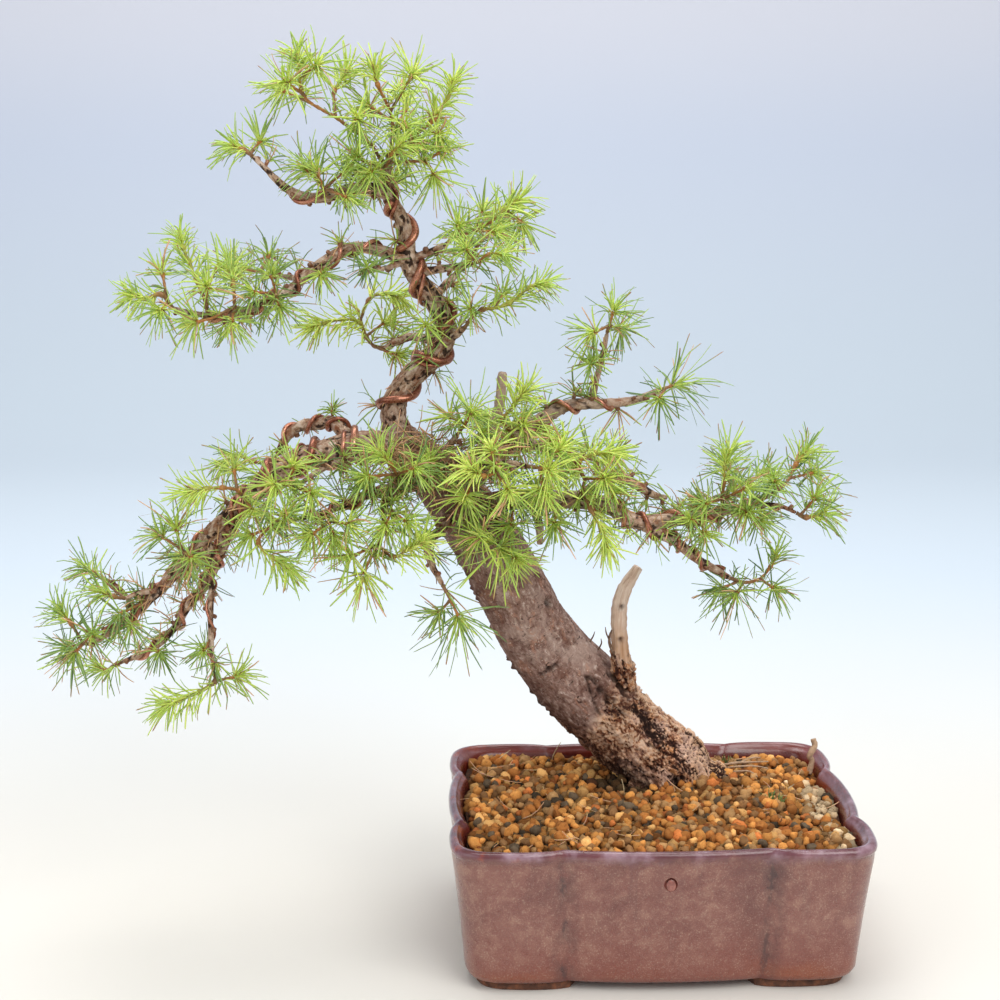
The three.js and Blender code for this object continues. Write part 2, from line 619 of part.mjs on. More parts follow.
function extrudeUp(points, height, z, holes = []) {
  const shape = new THREE.Shape(points);
  shape.holes = holes.map((hole) => new THREE.Path(hole));
  const geometry = new THREE.ExtrudeGeometry(shape, { depth: height, bevelEnabled: false });
  geometry.translate(0, 0, z);
  return geometry;
}

// The wall's section is a list of [inset, height], from the base up the outside, over the
// rounded lip and down the inside.
function makePot() {
  const outline = potOutline();
  const floorZ = FOOT_HEIGHT + FLOOR_THICK;
  const wall = [
    [WALL_TAPER + BASE_ROUND, FOOT_HEIGHT],
    [WALL_TAPER + BASE_ROUND * 0.3, FOOT_HEIGHT + BASE_ROUND / 2],
    [LIP_PROUD, POT_HEIGHT - LIP_DEEP],
    [LIP_PROUD * 0.15, POT_HEIGHT - LIP_DEEP * 0.7],
    [0, POT_HEIGHT - LIP_PROUD],
    [LIP_PROUD * 0.8, POT_HEIGHT],
    [LIP_WALL - LIP_PROUD, POT_HEIGHT],
    [LIP_WALL + INNER_DRAFT, POT_HEIGHT - LIP_DEEP * 0.75],
    [LIP_WALL + WALL_TAPER, floorZ],
  ];
  const bowl = solidOf(loft(wall.map(([depth, z]) => levelRing(inset(outline, depth), z))));
  const footBand = solidOf(extrudeUp(inset(outline, FOOT_INSET), FOOT_HEIGHT + 1, 0,
    [inset(outline, FOOT_INSET + FOOT_BAND)]));
  let pot = bowl;
  for (const signX of [-1, 1]) {
    for (const signY of [-1, 1]) {
      const corner = new THREE.BoxGeometry(POT_WIDTH, POT_DEPTH, FOOT_HEIGHT * 4);
      corner.translate(signX * (FOOT_END_X + POT_WIDTH / 2), signY * (FOOT_END_Y + POT_DEPTH / 2),
        0);
      pot = pot.add(footBand.intersect(solidOf(corner)));
    }
  }
  for (const sign of [-1, 1]) {
    const drain = new THREE.CylinderGeometry(DRAIN_RADIUS, DRAIN_RADIUS, floorZ * 3,
      DRAIN_SIDES);
    drain.rotateX(Math.PI / 2);
    drain.translate(sign * DRAIN_X, 0, 0);
    pot = pot.subtract(solidOf(drain));
  }
  return geometryOf(pot);
}

// Drainage meshes: square plates with square holes, flat on the floor over the drains
function makeDrainageMesh(sign) {
  const pitch = (MESH_SIDE - MESH_BAR) / MESH_HOLES;
  const z = FOOT_HEIGHT + FLOOR_THICK + GAP + MESH_THICK / 2;
  const sheet = new THREE.BoxGeometry(MESH_SIDE, MESH_SIDE, MESH_THICK);
  let plate = solidOf(sheet.translate(sign * DRAIN_X, 0, z));
  for (let column = 0; column < MESH_HOLES; column += 1) {
    for (let row = 0; row < MESH_HOLES; row += 1) {
      const x = sign * DRAIN_X + (column - (MESH_HOLES - 1) / 2) * pitch;
      const y = (row - (MESH_HOLES - 1) / 2) * pitch;
      const opening = new THREE.BoxGeometry(pitch - MESH_BAR, pitch - MESH_BAR, MESH_THICK * 3);
      plate = plate.subtract(solidOf(opening.translate(x, y, z)));
    }
  }
  return geometryOf(plate);
}

// Soil: fills the pot, its top rises a little to the middle and is rough with grains
function makeSoil() {
  const outline = potOutline();
  const floorZ = FOOT_HEIGHT + FLOOR_THICK + GAP;
  const edge = inset(outline, LIP_WALL + INNER_DRAFT + 2 * GAP);
  const rings = [levelRing(inset(outline, LIP_WALL + WALL_TAPER + 2 * GAP), floorZ)];
  for (let level = 0; level < SOIL_RINGS; level += 1) {
    const share = 1 - level / SOIL_RINGS;
    const height = SOIL_EDGE_Z + SOIL_MOUND * (1 - share * share);
    rings.push(edge.map((point) => new THREE.Vector3(
      point.x * share,
      point.y * share,
      height + (level === 0 ? 0 : draw(-GRAIN_RELIEF / 2, GRAIN_RELIEF / 2)),
    )));
  }
  let soil = solidOf(loft(rings));
  const holeHeight = SOIL_TOP_Z + HOLE_OVER - HOLE_FLOOR_Z;
  const grow = (HOLE_TOP_RADIUS - HOLE_END_RADIUS) / (SOIL_TOP_Z - HOLE_FLOOR_Z);
  const hole = new THREE.CylinderGeometry(HOLE_TOP_RADIUS + HOLE_OVER * grow, HOLE_END_RADIUS,
    holeHeight, HOLE_SIDES);
  hole.rotateX(Math.PI / 2);
  hole.translate(STUMP_X, STUMP_Y, HOLE_FLOOR_Z + holeHeight / 2);
  soil = soil.subtract(solidOf(hole));
  for (const sign of [-1, 1]) {
    const pocket = new THREE.BoxGeometry(MESH_SIDE + 2 * GAP, MESH_SIDE + 2 * GAP,
      2 * (MESH_THICK + 2 * GAP));
    pocket.translate(sign * DRAIN_X, 0, floorZ);
    soil = soil.subtract(solidOf(pocket));
  }
  return geometryOf(soil);
}

// Wood

function sidesFor(radius) {
  return SIDES_BY_RADIUS.find(([over]) => radius > over)[1];
}

// The stump stands upright in the soil and leans over only above it.
function trunkFrames(points) {
  const frames = framesAlong(points.map(vec), new THREE.Vector3(0, 0, 1));
  let side = new THREE.Vector3(1, 0, 0);
  for (const frame of frames) {
    if (frame.at.z < SOIL_TOP_Z + 2) frame.along.set(0, 0, 1);
    else {
      const share = THREE.MathUtils.clamp((LEAN_Z - frame.at.z) / LEAN_SPAN, 0, 1);
      frame.along.z += LEAN_PULL * share;
    }
    frame.along.normalize();
    side = side.clone().addScaledVector(frame.along, -side.dot(frame.along)).normalize();
    frame.side = side;
    frame.up = frame.along.clone().cross(side);
  }
  return frames;
}

function makeBranch(name) {
  const points = WOOD[name];
  const sides = sidesFor(points[0][3]);
  const frames = name === 'trunk' ? trunkFrames(points) : framesAlong(points.map(vec));
  return loft(frames.map((frame, index) => {
    const radius = points[index][3];
    if (name !== 'trunk') return ringAt(frame, radius, sides);
    const low = THREE.MathUtils.clamp((ROOT_TOP_Z - frame.at.z) / ROOT_SPAN, 0, 1);
    const ridge = ROOT_RIDGE_SHARE * low;
    return ringAt(frame, (angle) => radius * (1 + ridge * Math.cos(ROOT_RIDGES * angle + 1)),
      sides);
  }));
}

function makeTree() {
  return geometryOf(unite(Object.keys(WOOD).map(makeBranch)));
}

// What twigs, wires and needles keep clear of: tapered rods, each with its two ends and radii

function rod(start, end, startRadius, endRadius, owner) {
  return {
    start,
    end,
    startRadius,
    endRadius,
    owner,
    middle: start.clone().lerp(end, 0.5),
    reach: start.distanceTo(end) / 2 + Math.max(startRadius, endRadius),
  };
}

// The distance between two rods' surfaces, where they come nearest
function clearance(a, b) {
  const u = a.end.clone().sub(a.start);
  const v = b.end.clone().sub(b.start);
  const w = a.start.clone().sub(b.start);
  const uu = u.dot(u);
  const vv = v.dot(v);
  const uv = u.dot(v);
  const uw = u.dot(w);
  const vw = v.dot(w);
  const cross = uu * vv - uv * uv;
  const unit = (value) => THREE.MathUtils.clamp(value, 0, 1);
  let s = cross > TINY ? unit((uv * vw - vv * uw) / cross) : 0;
  const t = vv > TINY ? unit((uv * s + vw) / vv) : 0;
  s = uu > TINY ? unit((uv * t - uw) / uu) : 0;
  const onA = a.start.clone().addScaledVector(u, s);
  const onB = b.start.clone().addScaledVector(v, t);
  const radii = THREE.MathUtils.lerp(a.startRadius, a.endRadius, s)
    + THREE.MathUtils.lerp(b.startRadius, b.endRadius, t);
  return onA.distanceTo(onB) - radii;
}

function isClear(candidate, rods, gap) {
  return rods.every((other) => {
    const apart = candidate.middle.distanceTo(other.middle) - candidate.reach - other.reach;
    return apart > gap || clearance(candidate, other) > gap;
  });
}

const woodRods = [];
for (const [name, points] of Object.entries(WOOD)) {
  for (let index = 0; index + 1 < points.length; index += 1) {
    const [from, to] = [points[index], points[index + 1]];
    woodRods.push(rod(vec(from), vec(to), from[3], to[3], name));
  }
}

// Sprays

// The place where a spray stands: just off the end or the side of its wood
function footOn(branch, first, second) {
  const points = WOOD[branch];
  let best = null;
  for (let index = 0; index + 1 < points.length; index += 1) {
    const start = vec(points[index]);
    const step = vec(points[index + 1]).sub(start);
    const share = THREE.MathUtils.clamp(
      vec(first).sub(start).dot(step) / step.lengthSq(), 0, 1);
    const at = start.clone().addScaledVector(step, share);
    const distance = at.distanceTo(vec(first));
    if (!best || distance < best.distance) {
      const atEnd = index + 2 === points.length && share > AT_END;
      const radius = THREE.MathUtils.lerp(points[index][3], points[index + 1][3], share);
      best = { at, distance, atEnd, radius, along: step.clone().normalize() };
    }
  }
  if (best.atEnd) {
    return { at: best.at.addScaledVector(best.along, FOOT_GAP), along: best.along };
  }
  const out = vec(second).sub(best.at);
  out.addScaledVector(best.along, -out.dot(best.along)).normalize();
  return { at: best.at.addScaledVector(out, best.radius + FOOT_GAP), along: out };
}

// A side shoot starts on the straight of the twig, a little before the bend that it is given
function startInside(lists, place) {
  for (const list of lists) {
    const index = list.findIndex((point) => vec(point).distanceTo(vec(place)) < SAME_PLACE);
    if (index > 0) return vec(list[index]).lerp(vec(list[index - 1]), START_BEFORE);
  }
  return vec(place);
}

// The shoots of a spray as lists of points, the first one starting at its foot
function shootsOf(name) {
  const [branch, lists] = SPRAYS[name];
  return lists.map((list, number) => {
    const points = list.map(vec);
    if (number > 0) {
      points[0] = startInside(lists, list[0]);
      return { list, points, radius: SIDE_TWIG_RADIUS };
    }
    const foot = footOn(branch, list[0], list[1]);
    points[0] = foot.at;
    return { list, points, radius: TWIG_RADIUS, along: foot.along };
  });
}

const twigRods = [];
for (const name of Object.keys(SPRAYS)) {
  for (const { list, points, radius } of shootsOf(name)) {
    for (let index = 0; index + 1 < points.length; index += 1) {
      const hub = list[index + 1][3];
      const step = points[index + 1].clone().sub(points[index]).normalize();
      const end = points[index + 1].clone().addScaledVector(step, hub ? HUB_HALF + HUB_TIP : 0);
      twigRods.push(rod(points[index], end, radius, hub ? HUB_RADIUS : radius, name));
    }
  }
}

const wireRods = [];
const outerRods = [];
const wholeRods = [];

// A needle on a triangle of a hub: leaned this way and that until it is clear of everything
function needleTip(corners, outward, along, lean, length, spray) {
  const root = new THREE.Vector3();
  for (const corner of corners) root.addScaledVector(corner, 1 / 3);
  for (const share of TRIES) {
    const reach = Math.max(length * share * draw(...LENGTH_DRAW), SHORTEST_NEEDLE);
    const sway = share === 1 ? SWAY : WIDE_SWAY;
    const direction = outward.clone()
      .addScaledVector(along, lean)
      .normalize()
      .add(new THREE.Vector3(draw(-sway, sway), draw(-sway, sway), draw(-sway, sway)))
      .normalize();
    if (direction.dot(outward) < LEAST_OUTWARD && lean < TIP_FROM) continue;
    const tip = root.clone().addScaledVector(direction, reach);
    const free = root.clone().lerp(tip, FREE_FROM);
    const outer = rod(free, tip, NEEDLE_ROOT_RADIUS * (1 - FREE_FROM), NEEDLE_TIP_RADIUS, spray);
    const whole = rod(root, tip, NEEDLE_ROOT_RADIUS, NEEDLE_TIP_RADIUS, spray);
    const own = (other) => other.owner === spray;
    const foreign = (other) => other.owner !== spray;
    const clear = isClear(outer, twigRods.filter(own), TWIG_CLEAR)
      && isClear(whole, twigRods.filter(foreign), NEEDLE_CLEAR)
      && isClear(whole, wireRods, NEEDLE_CLEAR)
      && isClear(whole, woodRods, NEEDLE_CLEAR)
      && isClear(outer, outerRods.filter(own), NEEDLE_CLEAR / 2)
      && isClear(whole, wholeRods.filter(foreign), NEEDLE_CLEAR);
    if (!clear) continue;
    outerRods.push(outer);
    wholeRods.push(whole);
    return tip;
  }
  return null;
}

// A shoot is a slim four-sided twig. Where it carries a whorl, its faces are raised to needles.
function makeShoot({ list, points, radius, along }, spray) {
  const rings = [];
  const rows = [];
  const frames = framesAlong(points, along);
  frames.forEach((frame, index) => {
    const length = list[index][3];
    if (!length) {
      rings.push(ringAt(frame, radius, SHOOT_SIDES));
      rows.push(0);
      return;
    }
    for (const side of [-1, 1]) {
      const at = frame.at.clone().addScaledVector(frame.along, side * HUB_HALF);
      rings.push(ringAt({ ...frame, at }, HUB_RADIUS, SHOOT_SIDES));
      rows.push(side < 0 ? length : 0);
    }
  });
  const lastLength = list[list.length - 1][3];
  const axes = [];
  frames.forEach((frame, index) => {
    axes.push(frame);
    if (list[index][3]) axes.push(frame);
  });
  const positions = [];
  const faces = [];
  for (const ring of rings) {
    for (const point of ring) positions.push(point.x, point.y, point.z);
  }
  const pointAt = (index) => new THREE.Vector3().fromArray(positions, index * 3);
  const raise = (a, b, c, lean, length, frame) => {
    const corners = [pointAt(a), pointAt(b), pointAt(c)];
    const outward = corners[0].clone().add(corners[1]).add(corners[2]).divideScalar(3)
      .sub(frame.at);
    outward.addScaledVector(frame.along, -outward.dot(frame.along)).normalize();
    const tip = needleTip(corners, outward, frame.along, lean, length, spray);
    if (!tip) {
      faces.push(a, b, c);
      return;
    }
    const top = positions.length / 3;
    positions.push(tip.x, tip.y, tip.z);
    faces.push(a, b, top, b, c, top, c, a, top);
  };
  for (let level = 0; level + 1 < rings.length; level += 1) {
    for (let side = 0; side < SHOOT_SIDES; side += 1) {
      const next = (side + 1) % SHOOT_SIDES;
      const a = level * SHOOT_SIDES + side;
      const b = level * SHOOT_SIDES + next;
      const [c, d] = [b + SHOOT_SIDES, a + SHOOT_SIDES];
      if (!rows[level]) {
        faces.push(a, b, c, a, c, d);
        continue;
      }
      raise(a, b, c, draw(...LEAN_LOW), rows[level], axes[level]);
      raise(a, c, d, draw(...LEAN_HIGH), rows[level], axes[level]);
    }
  }
  closeEnd(rings[0], 0, true, faces);
  const last = rings.length - 1;
  const tipFrame = axes[last];
  const crown = positions.length / 3;
  const top = tipFrame.at.clone().addScaledVector(tipFrame.along, HUB_HALF + HUB_TIP);
  positions.push(top.x, top.y, top.z);
  for (let side = 0; side < SHOOT_SIDES; side += 1) {
    const next = (side + 1) % SHOOT_SIDES;
    const [a, b] = [last * SHOOT_SIDES + side, last * SHOOT_SIDES + next];
    raise(a, b, crown, draw(...LEAN_TIP), lastLength, tipFrame);
  }
  return geometryFrom(positions, faces);
}

function makeSpray(name) {
  return geometryOf(unite(shootsOf(name).map((shoot) => makeShoot(shoot, name))));
}

// Wires

// A coil round a branch, pushed outwards wherever a side branch or a twig is in its way
function wirePoints([branch, from, to, turns, radius]) {
  const points = WOOD[branch];
  const frames = framesAlong(points.map(vec));
  const steps = Math.round(turns * STEPS_PER_TURN);
  const path = [];
  for (let step = 0; step <= steps; step += 1) {
    const place = from + ((to - from) * step) / steps;
    const index = Math.min(Math.floor(place), points.length - 2);
    const share = place - index;
    const wood = THREE.MathUtils.lerp(points[index][3], points[index + 1][3], share);
    const angle = (2 * Math.PI * step) / STEPS_PER_TURN;
    const reach = (wood + radius + GAP) / Math.cos(Math.PI / STEPS_PER_TURN) + WIRE_SLACK;
    const [one, two] = [frames[index], frames[index + 1]];
    const at = one.at.clone().lerp(two.at, share);
    const side = one.side.clone().lerp(two.side, share).normalize();
    const up = one.up.clone().lerp(two.up, share).normalize();
    path.push(at.addScaledVector(side, reach * Math.cos(angle))
      .addScaledVector(up, reach * Math.sin(angle)));
  }
  return clearedPath(path, radius);
}

// Points, and places between them, are pushed out of everything that they come too near.
function clearedPath(path, radius) {
  const obstacles = [...woodRods, ...twigRods, ...wireRods];
  for (let round = 0; round < CLEAR_ROUNDS; round += 1) {
    for (let index = 0; index + 1 < path.length; index += 1) {
      for (const share of CLEAR_SHARES) {
        const place = path[index].clone().lerp(path[index + 1], share);
        const push = pushFrom(place, radius + WIRE_CLEAR, obstacles);
        path[index].add(push);
        if (share > 0) path[index + 1].add(push);
      }
    }
  }
  return path;
}

function pushFrom(place, distance, obstacles) {
  const moved = place.clone();
  for (const other of obstacles) {
    const span = other.end.clone().sub(other.start);
    const share = THREE.MathUtils.clamp(
      moved.clone().sub(other.start).dot(span) / span.lengthSq(), 0, 1);
    const away = moved.clone().sub(other.start).addScaledVector(span, -share);
    const lack = THREE.MathUtils.lerp(other.startRadius, other.endRadius, share) + distance
      - away.length();
    if (lack > 0) moved.addScaledVector(away.normalize(), lack);
  }
  return moved.sub(place);
}

function makeWire(name) {
  const radius = WIRES[name][4];
  const path = wirePoints(WIRES[name]);
  for (let index = 0; index + 1 < path.length; index += 1) {
    wireRods.push(rod(path[index], path[index + 1], radius, radius, name));
  }
  const sides = radius === THICK_WIRE ? 4 : 3;
  return loft(framesAlong(path).map((frame) => ringAt(frame, radius, sides)));
}

// The whole object

function material(color, roughness, metalness = 0) {
  return new THREE.MeshStandardMaterial({ color, roughness, metalness, flatShading: true });
}

const finish = {
  glaze: material(0x7d5149, 0.35),
  mesh: material(0x2c2c2c, 0.6),
  soil: material(0xa8682f, 0.95),
  bark: material(0x7d675b, 0.9),
  wire: material(0x6e3a2a, 0.4, 0.8),
  needles: material(0x7fae3c, 0.6),
};

const bonsai = new THREE.Group();

function addPiece(name, geometry, look) {
  const mesh = new THREE.Mesh(geometry, look);
  mesh.name = name;
  bonsai.add(mesh);
}

addPiece('pot', makePot(), finish.glaze);
addPiece('drainage_mesh_left', makeDrainageMesh(-1), finish.mesh);
addPiece('drainage_mesh_right', makeDrainageMesh(1), finish.mesh);
addPiece('soil', makeSoil(), finish.soil);
addPiece('tree', makeTree(), finish.bark);
for (const name of Object.keys(WIRES)) addPiece(name, makeWire(name), finish.wire);
for (const name of Object.keys(SPRAYS)) addPiece(`spray_${name}`, makeSpray(name), finish.needles);

const box = new THREE.Box3().setFromObject(bonsai);
bonsai.position.set(-(box.min.x + box.max.x) / 2, -(box.min.y + box.max.y) / 2, -box.min.z);

export default bonsai;
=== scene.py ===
# European larch bonsai in a lobed, glazed pot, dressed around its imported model.
import math

import bpy
import numpy as np
from mathutils import Matrix, Quaternion, Vector, noise


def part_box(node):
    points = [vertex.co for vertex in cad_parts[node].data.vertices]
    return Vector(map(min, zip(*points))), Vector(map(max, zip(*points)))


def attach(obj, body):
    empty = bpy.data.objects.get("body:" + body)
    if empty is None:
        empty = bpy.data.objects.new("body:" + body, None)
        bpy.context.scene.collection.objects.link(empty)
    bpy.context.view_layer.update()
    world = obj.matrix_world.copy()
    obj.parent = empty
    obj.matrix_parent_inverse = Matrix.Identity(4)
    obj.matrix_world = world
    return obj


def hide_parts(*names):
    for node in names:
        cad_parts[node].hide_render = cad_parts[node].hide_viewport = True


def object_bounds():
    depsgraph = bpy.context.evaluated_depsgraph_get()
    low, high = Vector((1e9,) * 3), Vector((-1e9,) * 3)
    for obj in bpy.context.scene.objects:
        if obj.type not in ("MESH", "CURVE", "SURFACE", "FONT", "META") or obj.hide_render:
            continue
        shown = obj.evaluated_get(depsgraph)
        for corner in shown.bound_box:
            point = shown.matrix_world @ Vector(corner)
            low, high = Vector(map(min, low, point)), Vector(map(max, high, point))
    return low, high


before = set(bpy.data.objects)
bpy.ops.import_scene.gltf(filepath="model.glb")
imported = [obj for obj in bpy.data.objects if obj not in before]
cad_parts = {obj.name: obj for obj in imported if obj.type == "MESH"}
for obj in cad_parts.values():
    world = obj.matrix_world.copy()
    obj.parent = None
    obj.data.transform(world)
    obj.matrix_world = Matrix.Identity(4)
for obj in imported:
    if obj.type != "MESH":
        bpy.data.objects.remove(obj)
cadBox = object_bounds()
draws = np.random.default_rng(7)
mm = 0.001
print("frame loaded")


# Places: the tables are in millimetres from the middle of the pot, on the table that it stands on

potLow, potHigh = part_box("pot")
potMiddle = np.array([(potLow.x + potHigh.x) / 2, (potLow.y + potHigh.y) / 2, 0])
boxLow = np.array(cadBox[0])
boxHigh = np.array(cadBox[1])


def spot(x, y, z):
    return Vector(potMiddle + np.array([x, y, z]) * mm)


def spots(points):
    return potMiddle + np.asarray(points, float)[:, :3] * mm


def deselect():
    if bpy.context.object and bpy.context.object.mode == "EDIT":
        bpy.ops.object.mode_set(mode="OBJECT")
    bpy.ops.object.select_all(action="DESELECT")


def pick(*pieces):
    deselect()
    for piece in pieces:
        piece.select_set(True)
    bpy.context.view_layer.objects.active = pieces[0]


def startEdit():
    bpy.ops.object.mode_set(mode="EDIT")
    bpy.ops.mesh.select_all(action="SELECT")


def endEdit():  # with every face turned outwards
    bpy.ops.mesh.select_all(action="SELECT")
    bpy.ops.mesh.normals_make_consistent(inside=False)
    deselect()


def addModifier(piece, kind, **settings):
    pick(piece)
    bpy.ops.object.modifier_add(type=kind)
    modifier = piece.modifiers[-1]
    for key, value in settings.items():
        setattr(modifier, key, value)
    bpy.ops.object.modifier_apply(modifier=modifier.name)


def joinAll(pieces, name):
    pick(*pieces)
    bpy.ops.object.join()
    pieces[0].name = pieces[0].data.name = name
    return pieces[0]


def smoothFaces(piece):
    pick(piece)
    bpy.ops.object.shade_smooth()


def finishPiece(piece, material, slot, *nodes):
    piece.data.materials.append(material)
    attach(piece, "root")
    if nodes:
        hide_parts(*nodes)


# Materials: these functions add their nodes to the latest material

def paint(red, green, blue):  # a colour as it shows, 0 to 255
    values = [channel / 255 for channel in (red, green, blue)]
    linear = [v / 12.92 if v <= 0.04045 else ((v + 0.055) / 1.055) ** 2.4 for v in values]
    return (*linear, 1)


def tintOf(*color):
    return np.array(paint(*color)[:3])


def newMaterial(name, settings):
    global latest
    latest = bpy.data.materials.new(name)
    latest.use_nodes = True
    surface = latest.node_tree.nodes["Principled BSDF"]
    for socket, value in settings.items():
        surface.inputs[socket].default_value = value


def addNode(kind, inputs=None, **properties):
    node = latest.node_tree.nodes.new("ShaderNode" + kind)
    for key, value in properties.items():
        setattr(node, key, value)
    for key, value in (inputs or {}).items():
        if isinstance(value, bpy.types.NodeSocket):
            latest.node_tree.links.new(value, node.inputs[key])
        else:
            node.inputs[key].default_value = value
    return node


def noiseOf(place, scale, detail=4, roughness=0.6, distortion=0):
    inputs = {"Vector": place, "Scale": scale, "Detail": detail, "Roughness": roughness,
              "Distortion": distortion}
    return addNode("TexNoise", inputs).outputs[0]


def mixed(share, first, second, blend="MIX"):
    inputs = {0: share, 6: first, 7: second}
    return addNode("Mix", inputs, data_type="RGBA", blend_type=blend).outputs[2]


def sums(operation, *values):
    return addNode("Math", dict(enumerate(values)), operation=operation).outputs[0]


def times(*values):  # the third value is added
    return sums("MULTIPLY_ADD" if len(values) > 2 else "MULTIPLY", *values)


def offBy(value, middle):
    return sums("ABSOLUTE", sums("SUBTRACT", value, middle), 0)


def spread(value, low, high, toLow=0.0, toHigh=1.0):
    inputs = {"Value": value, "From Min": low, "From Max": high, "To Min": toLow, "To Max": toHigh}
    return addNode("MapRange", inputs, interpolation_type="SMOOTHSTEP").outputs[0]


def tinted(color, tint, mask, low, high, most=1.0):  # with the tint where the mask nears high
    return mixed(spread(mask, low, high, 0, most), color, paint(*tint))


def ramp(value, *stops):  # each stop is a place on the ramp and a colour
    node = addNode("ValToRGB", {"Fac": value})
    elements = node.color_ramp.elements
    for _ in stops[2:]:
        elements.new(0.5)
    for element, (position, *color) in zip(elements, stops):
        element.position = position
        element.color = paint(*color)
    return node.outputs["Color"]


def attributeOf(name, output="Fac"):
    return addNode("Attribute", attribute_name=name).outputs[output]


def objectPlace(stretch=(1, 1, 1)):
    place = addNode("TexCoord").outputs["Object"]
    return addNode("Mapping", {"Vector": place, "Scale": stretch}).outputs["Vector"]


def toSurface(color, roughness=None, bump=None, strength=0.5, distance=0.0005):
    surface = latest.node_tree.nodes["Principled BSDF"]
    linked = {"Base Color": color, "Roughness": roughness}
    if bump is not None:
        inputs = {"Height": bump, "Strength": strength, "Distance": distance}
        linked["Normal"] = addNode("Bump", inputs).outputs[0]
    for socket, value in linked.items():
        if value is not None:
            latest.node_tree.links.new(value, surface.inputs[socket])
    return latest


# Meshes from copies of one model

def meshArrays(piece):
    mesh = piece.data
    corners = np.zeros(len(mesh.vertices) * 3)
    mesh.vertices.foreach_get("co", corners)
    mesh.calc_loop_triangles()
    faces = np.zeros(len(mesh.loop_triangles) * 3, int)
    mesh.loop_triangles.foreach_get("vertices", faces)
    return corners.reshape(-1, 3), faces.reshape(-1, 3)


def pieceFrom(name, corners, faces, colors=None):
    mesh = bpy.data.meshes.new(name)
    mesh.vertices.add(len(corners))
    mesh.vertices.foreach_set("co", np.asarray(corners, np.float32).ravel())
    mesh.loops.add(len(faces) * 3)
    mesh.loops.foreach_set("vertex_index", np.asarray(faces, np.int32).ravel())
    mesh.polygons.add(len(faces))
    mesh.polygons.foreach_set("loop_start", np.arange(len(faces), dtype=np.int32) * 3)
    mesh.polygons.foreach_set("use_smooth", np.ones(len(faces), bool))
    mesh.update(calc_edges=True)
    if colors is not None:
        paintPoints(mesh, "tint", colors)
    mesh.validate()
    piece = bpy.data.objects.new(name, mesh)
    bpy.context.scene.collection.objects.link(piece)
    return piece


def unit(vector):
    vector = np.asarray(vector, float)
    return vector / max(np.linalg.norm(vector), 1e-9)


def paintPoints(mesh, name, colors):
    layer = mesh.attributes.new(name, "FLOAT_COLOR", "POINT")
    full = np.ones((len(colors), 4), np.float32)
    full[:, :3] = np.asarray(colors)[:, :3]
    layer.data.foreach_set("color", full.ravel())


def markPoints(mesh, **marks):
    for name, values in marks.items():
        layer = mesh.attributes.new(name, "FLOAT", "POINT")
        layer.data.foreach_set("value", np.asarray(values, np.float32))


def turned(first, second, angle):  # from the first direction towards the second
    return first * math.cos(angle) + second * math.sin(angle)


def nearestRow(rows, place):
    return np.linalg.norm(rows[:, :3] - np.array(place[:3]), axis=1).argmin()


# Pot

pot = {
    "width": 220, "depth": 172, "height": 79, "feet": 5, "floor": 7, "taper": 8,
    "notchX": 54, "notchY": 38, "notchDeep": 4, "corner": 20, "bow": 0.6, "pull": 7,
    "lobeFlat": 12, "lobeSide": 16, "shoulder": 4, "steps": 14,
    "lip": 8, "footInset": 13, "footBand": 15, "footEndX": 46, "footEndY": 30,
    "drainX": 48, "drainRadius": 8, "neck": 1.2,
}
potHalves = np.array([pot["width"] / 2, pot["depth"] / 2])


def curvePoints(knots, steps):  # a Bezier stretch without its first place
    knots = np.asarray(knots, float)
    places = []
    for step in range(1, steps + 1):
        share = step / steps
        row = knots
        while len(row) > 1:
            row = row[:-1] * (1 - share) + row[1:] * share
        places.append(row[0])
    return places


def potOutline():  # anticlockwise, from the middle of the front
    halfX, halfY = potHalves
    nx, ny, pull, shoulder = pot["notchX"], pot["notchY"], pot["pull"], pot["shoulder"]
    front = (nx, -halfY + pot["notchDeep"])
    side = (halfX - pot["notchDeep"], -ny)
    cornerStart = (halfX - pot["corner"] + shoulder, -halfY + shoulder / 2)
    cornerEnd = (halfX - shoulder / 4, -halfY + pot["corner"])
    steps = pot["steps"]
    quarter = [np.array([0.0, -halfY])]
    quarter += curvePoints([(0, -halfY), (nx * pot["bow"], -halfY), front], steps)
    quarter += curvePoints([front, (nx + pull, -halfY), (halfX - pot["corner"] - pot["lobeFlat"], -halfY),
                            cornerStart], steps)
    quarter += curvePoints([cornerStart, (halfX - shoulder * 2, -halfY + shoulder),
                            (halfX - shoulder / 2, -halfY + shoulder * 2), cornerEnd], steps // 2)
    quarter += curvePoints([cornerEnd, (halfX, -ny - pot["lobeSide"]), (halfX, -ny - pull), side], steps)
    quarter += curvePoints([side, (halfX, -ny * pot["bow"]), (halfX, 0)], steps)
    right = quarter + [p * (1, -1) for p in quarter[-2::-1]]
    left = [p * (-1, 1) for p in right[-2:0:-1]]
    return np.array(right + left)


outline = potOutline()
outlineLengths = np.linalg.norm(outline, axis=1)
outlineAngles = np.unwrap(np.arctan2(outline[:, 1], outline[:, 0]))


def edgeShare(x, y):  # how far out towards the outline a place lies, from 0 to 1
    angle = (np.arctan2(y, x) - outlineAngles[0]) % (2 * np.pi) + outlineAngles[0]
    return np.hypot(x, y) / np.interp(angle, outlineAngles, outlineLengths, period=2 * np.pi)


def startRing(name, inset, height):
    deselect()
    bpy.ops.mesh.primitive_circle_add(vertices=len(outline), radius=1, fill_type="NOTHING")
    ring = bpy.context.object
    ring.name = name
    for vertex, place in zip(ring.data.vertices, outline * (potHalves - inset) / potHalves):
        vertex.co = spot(*place, height)
    startEdit()
    return ring


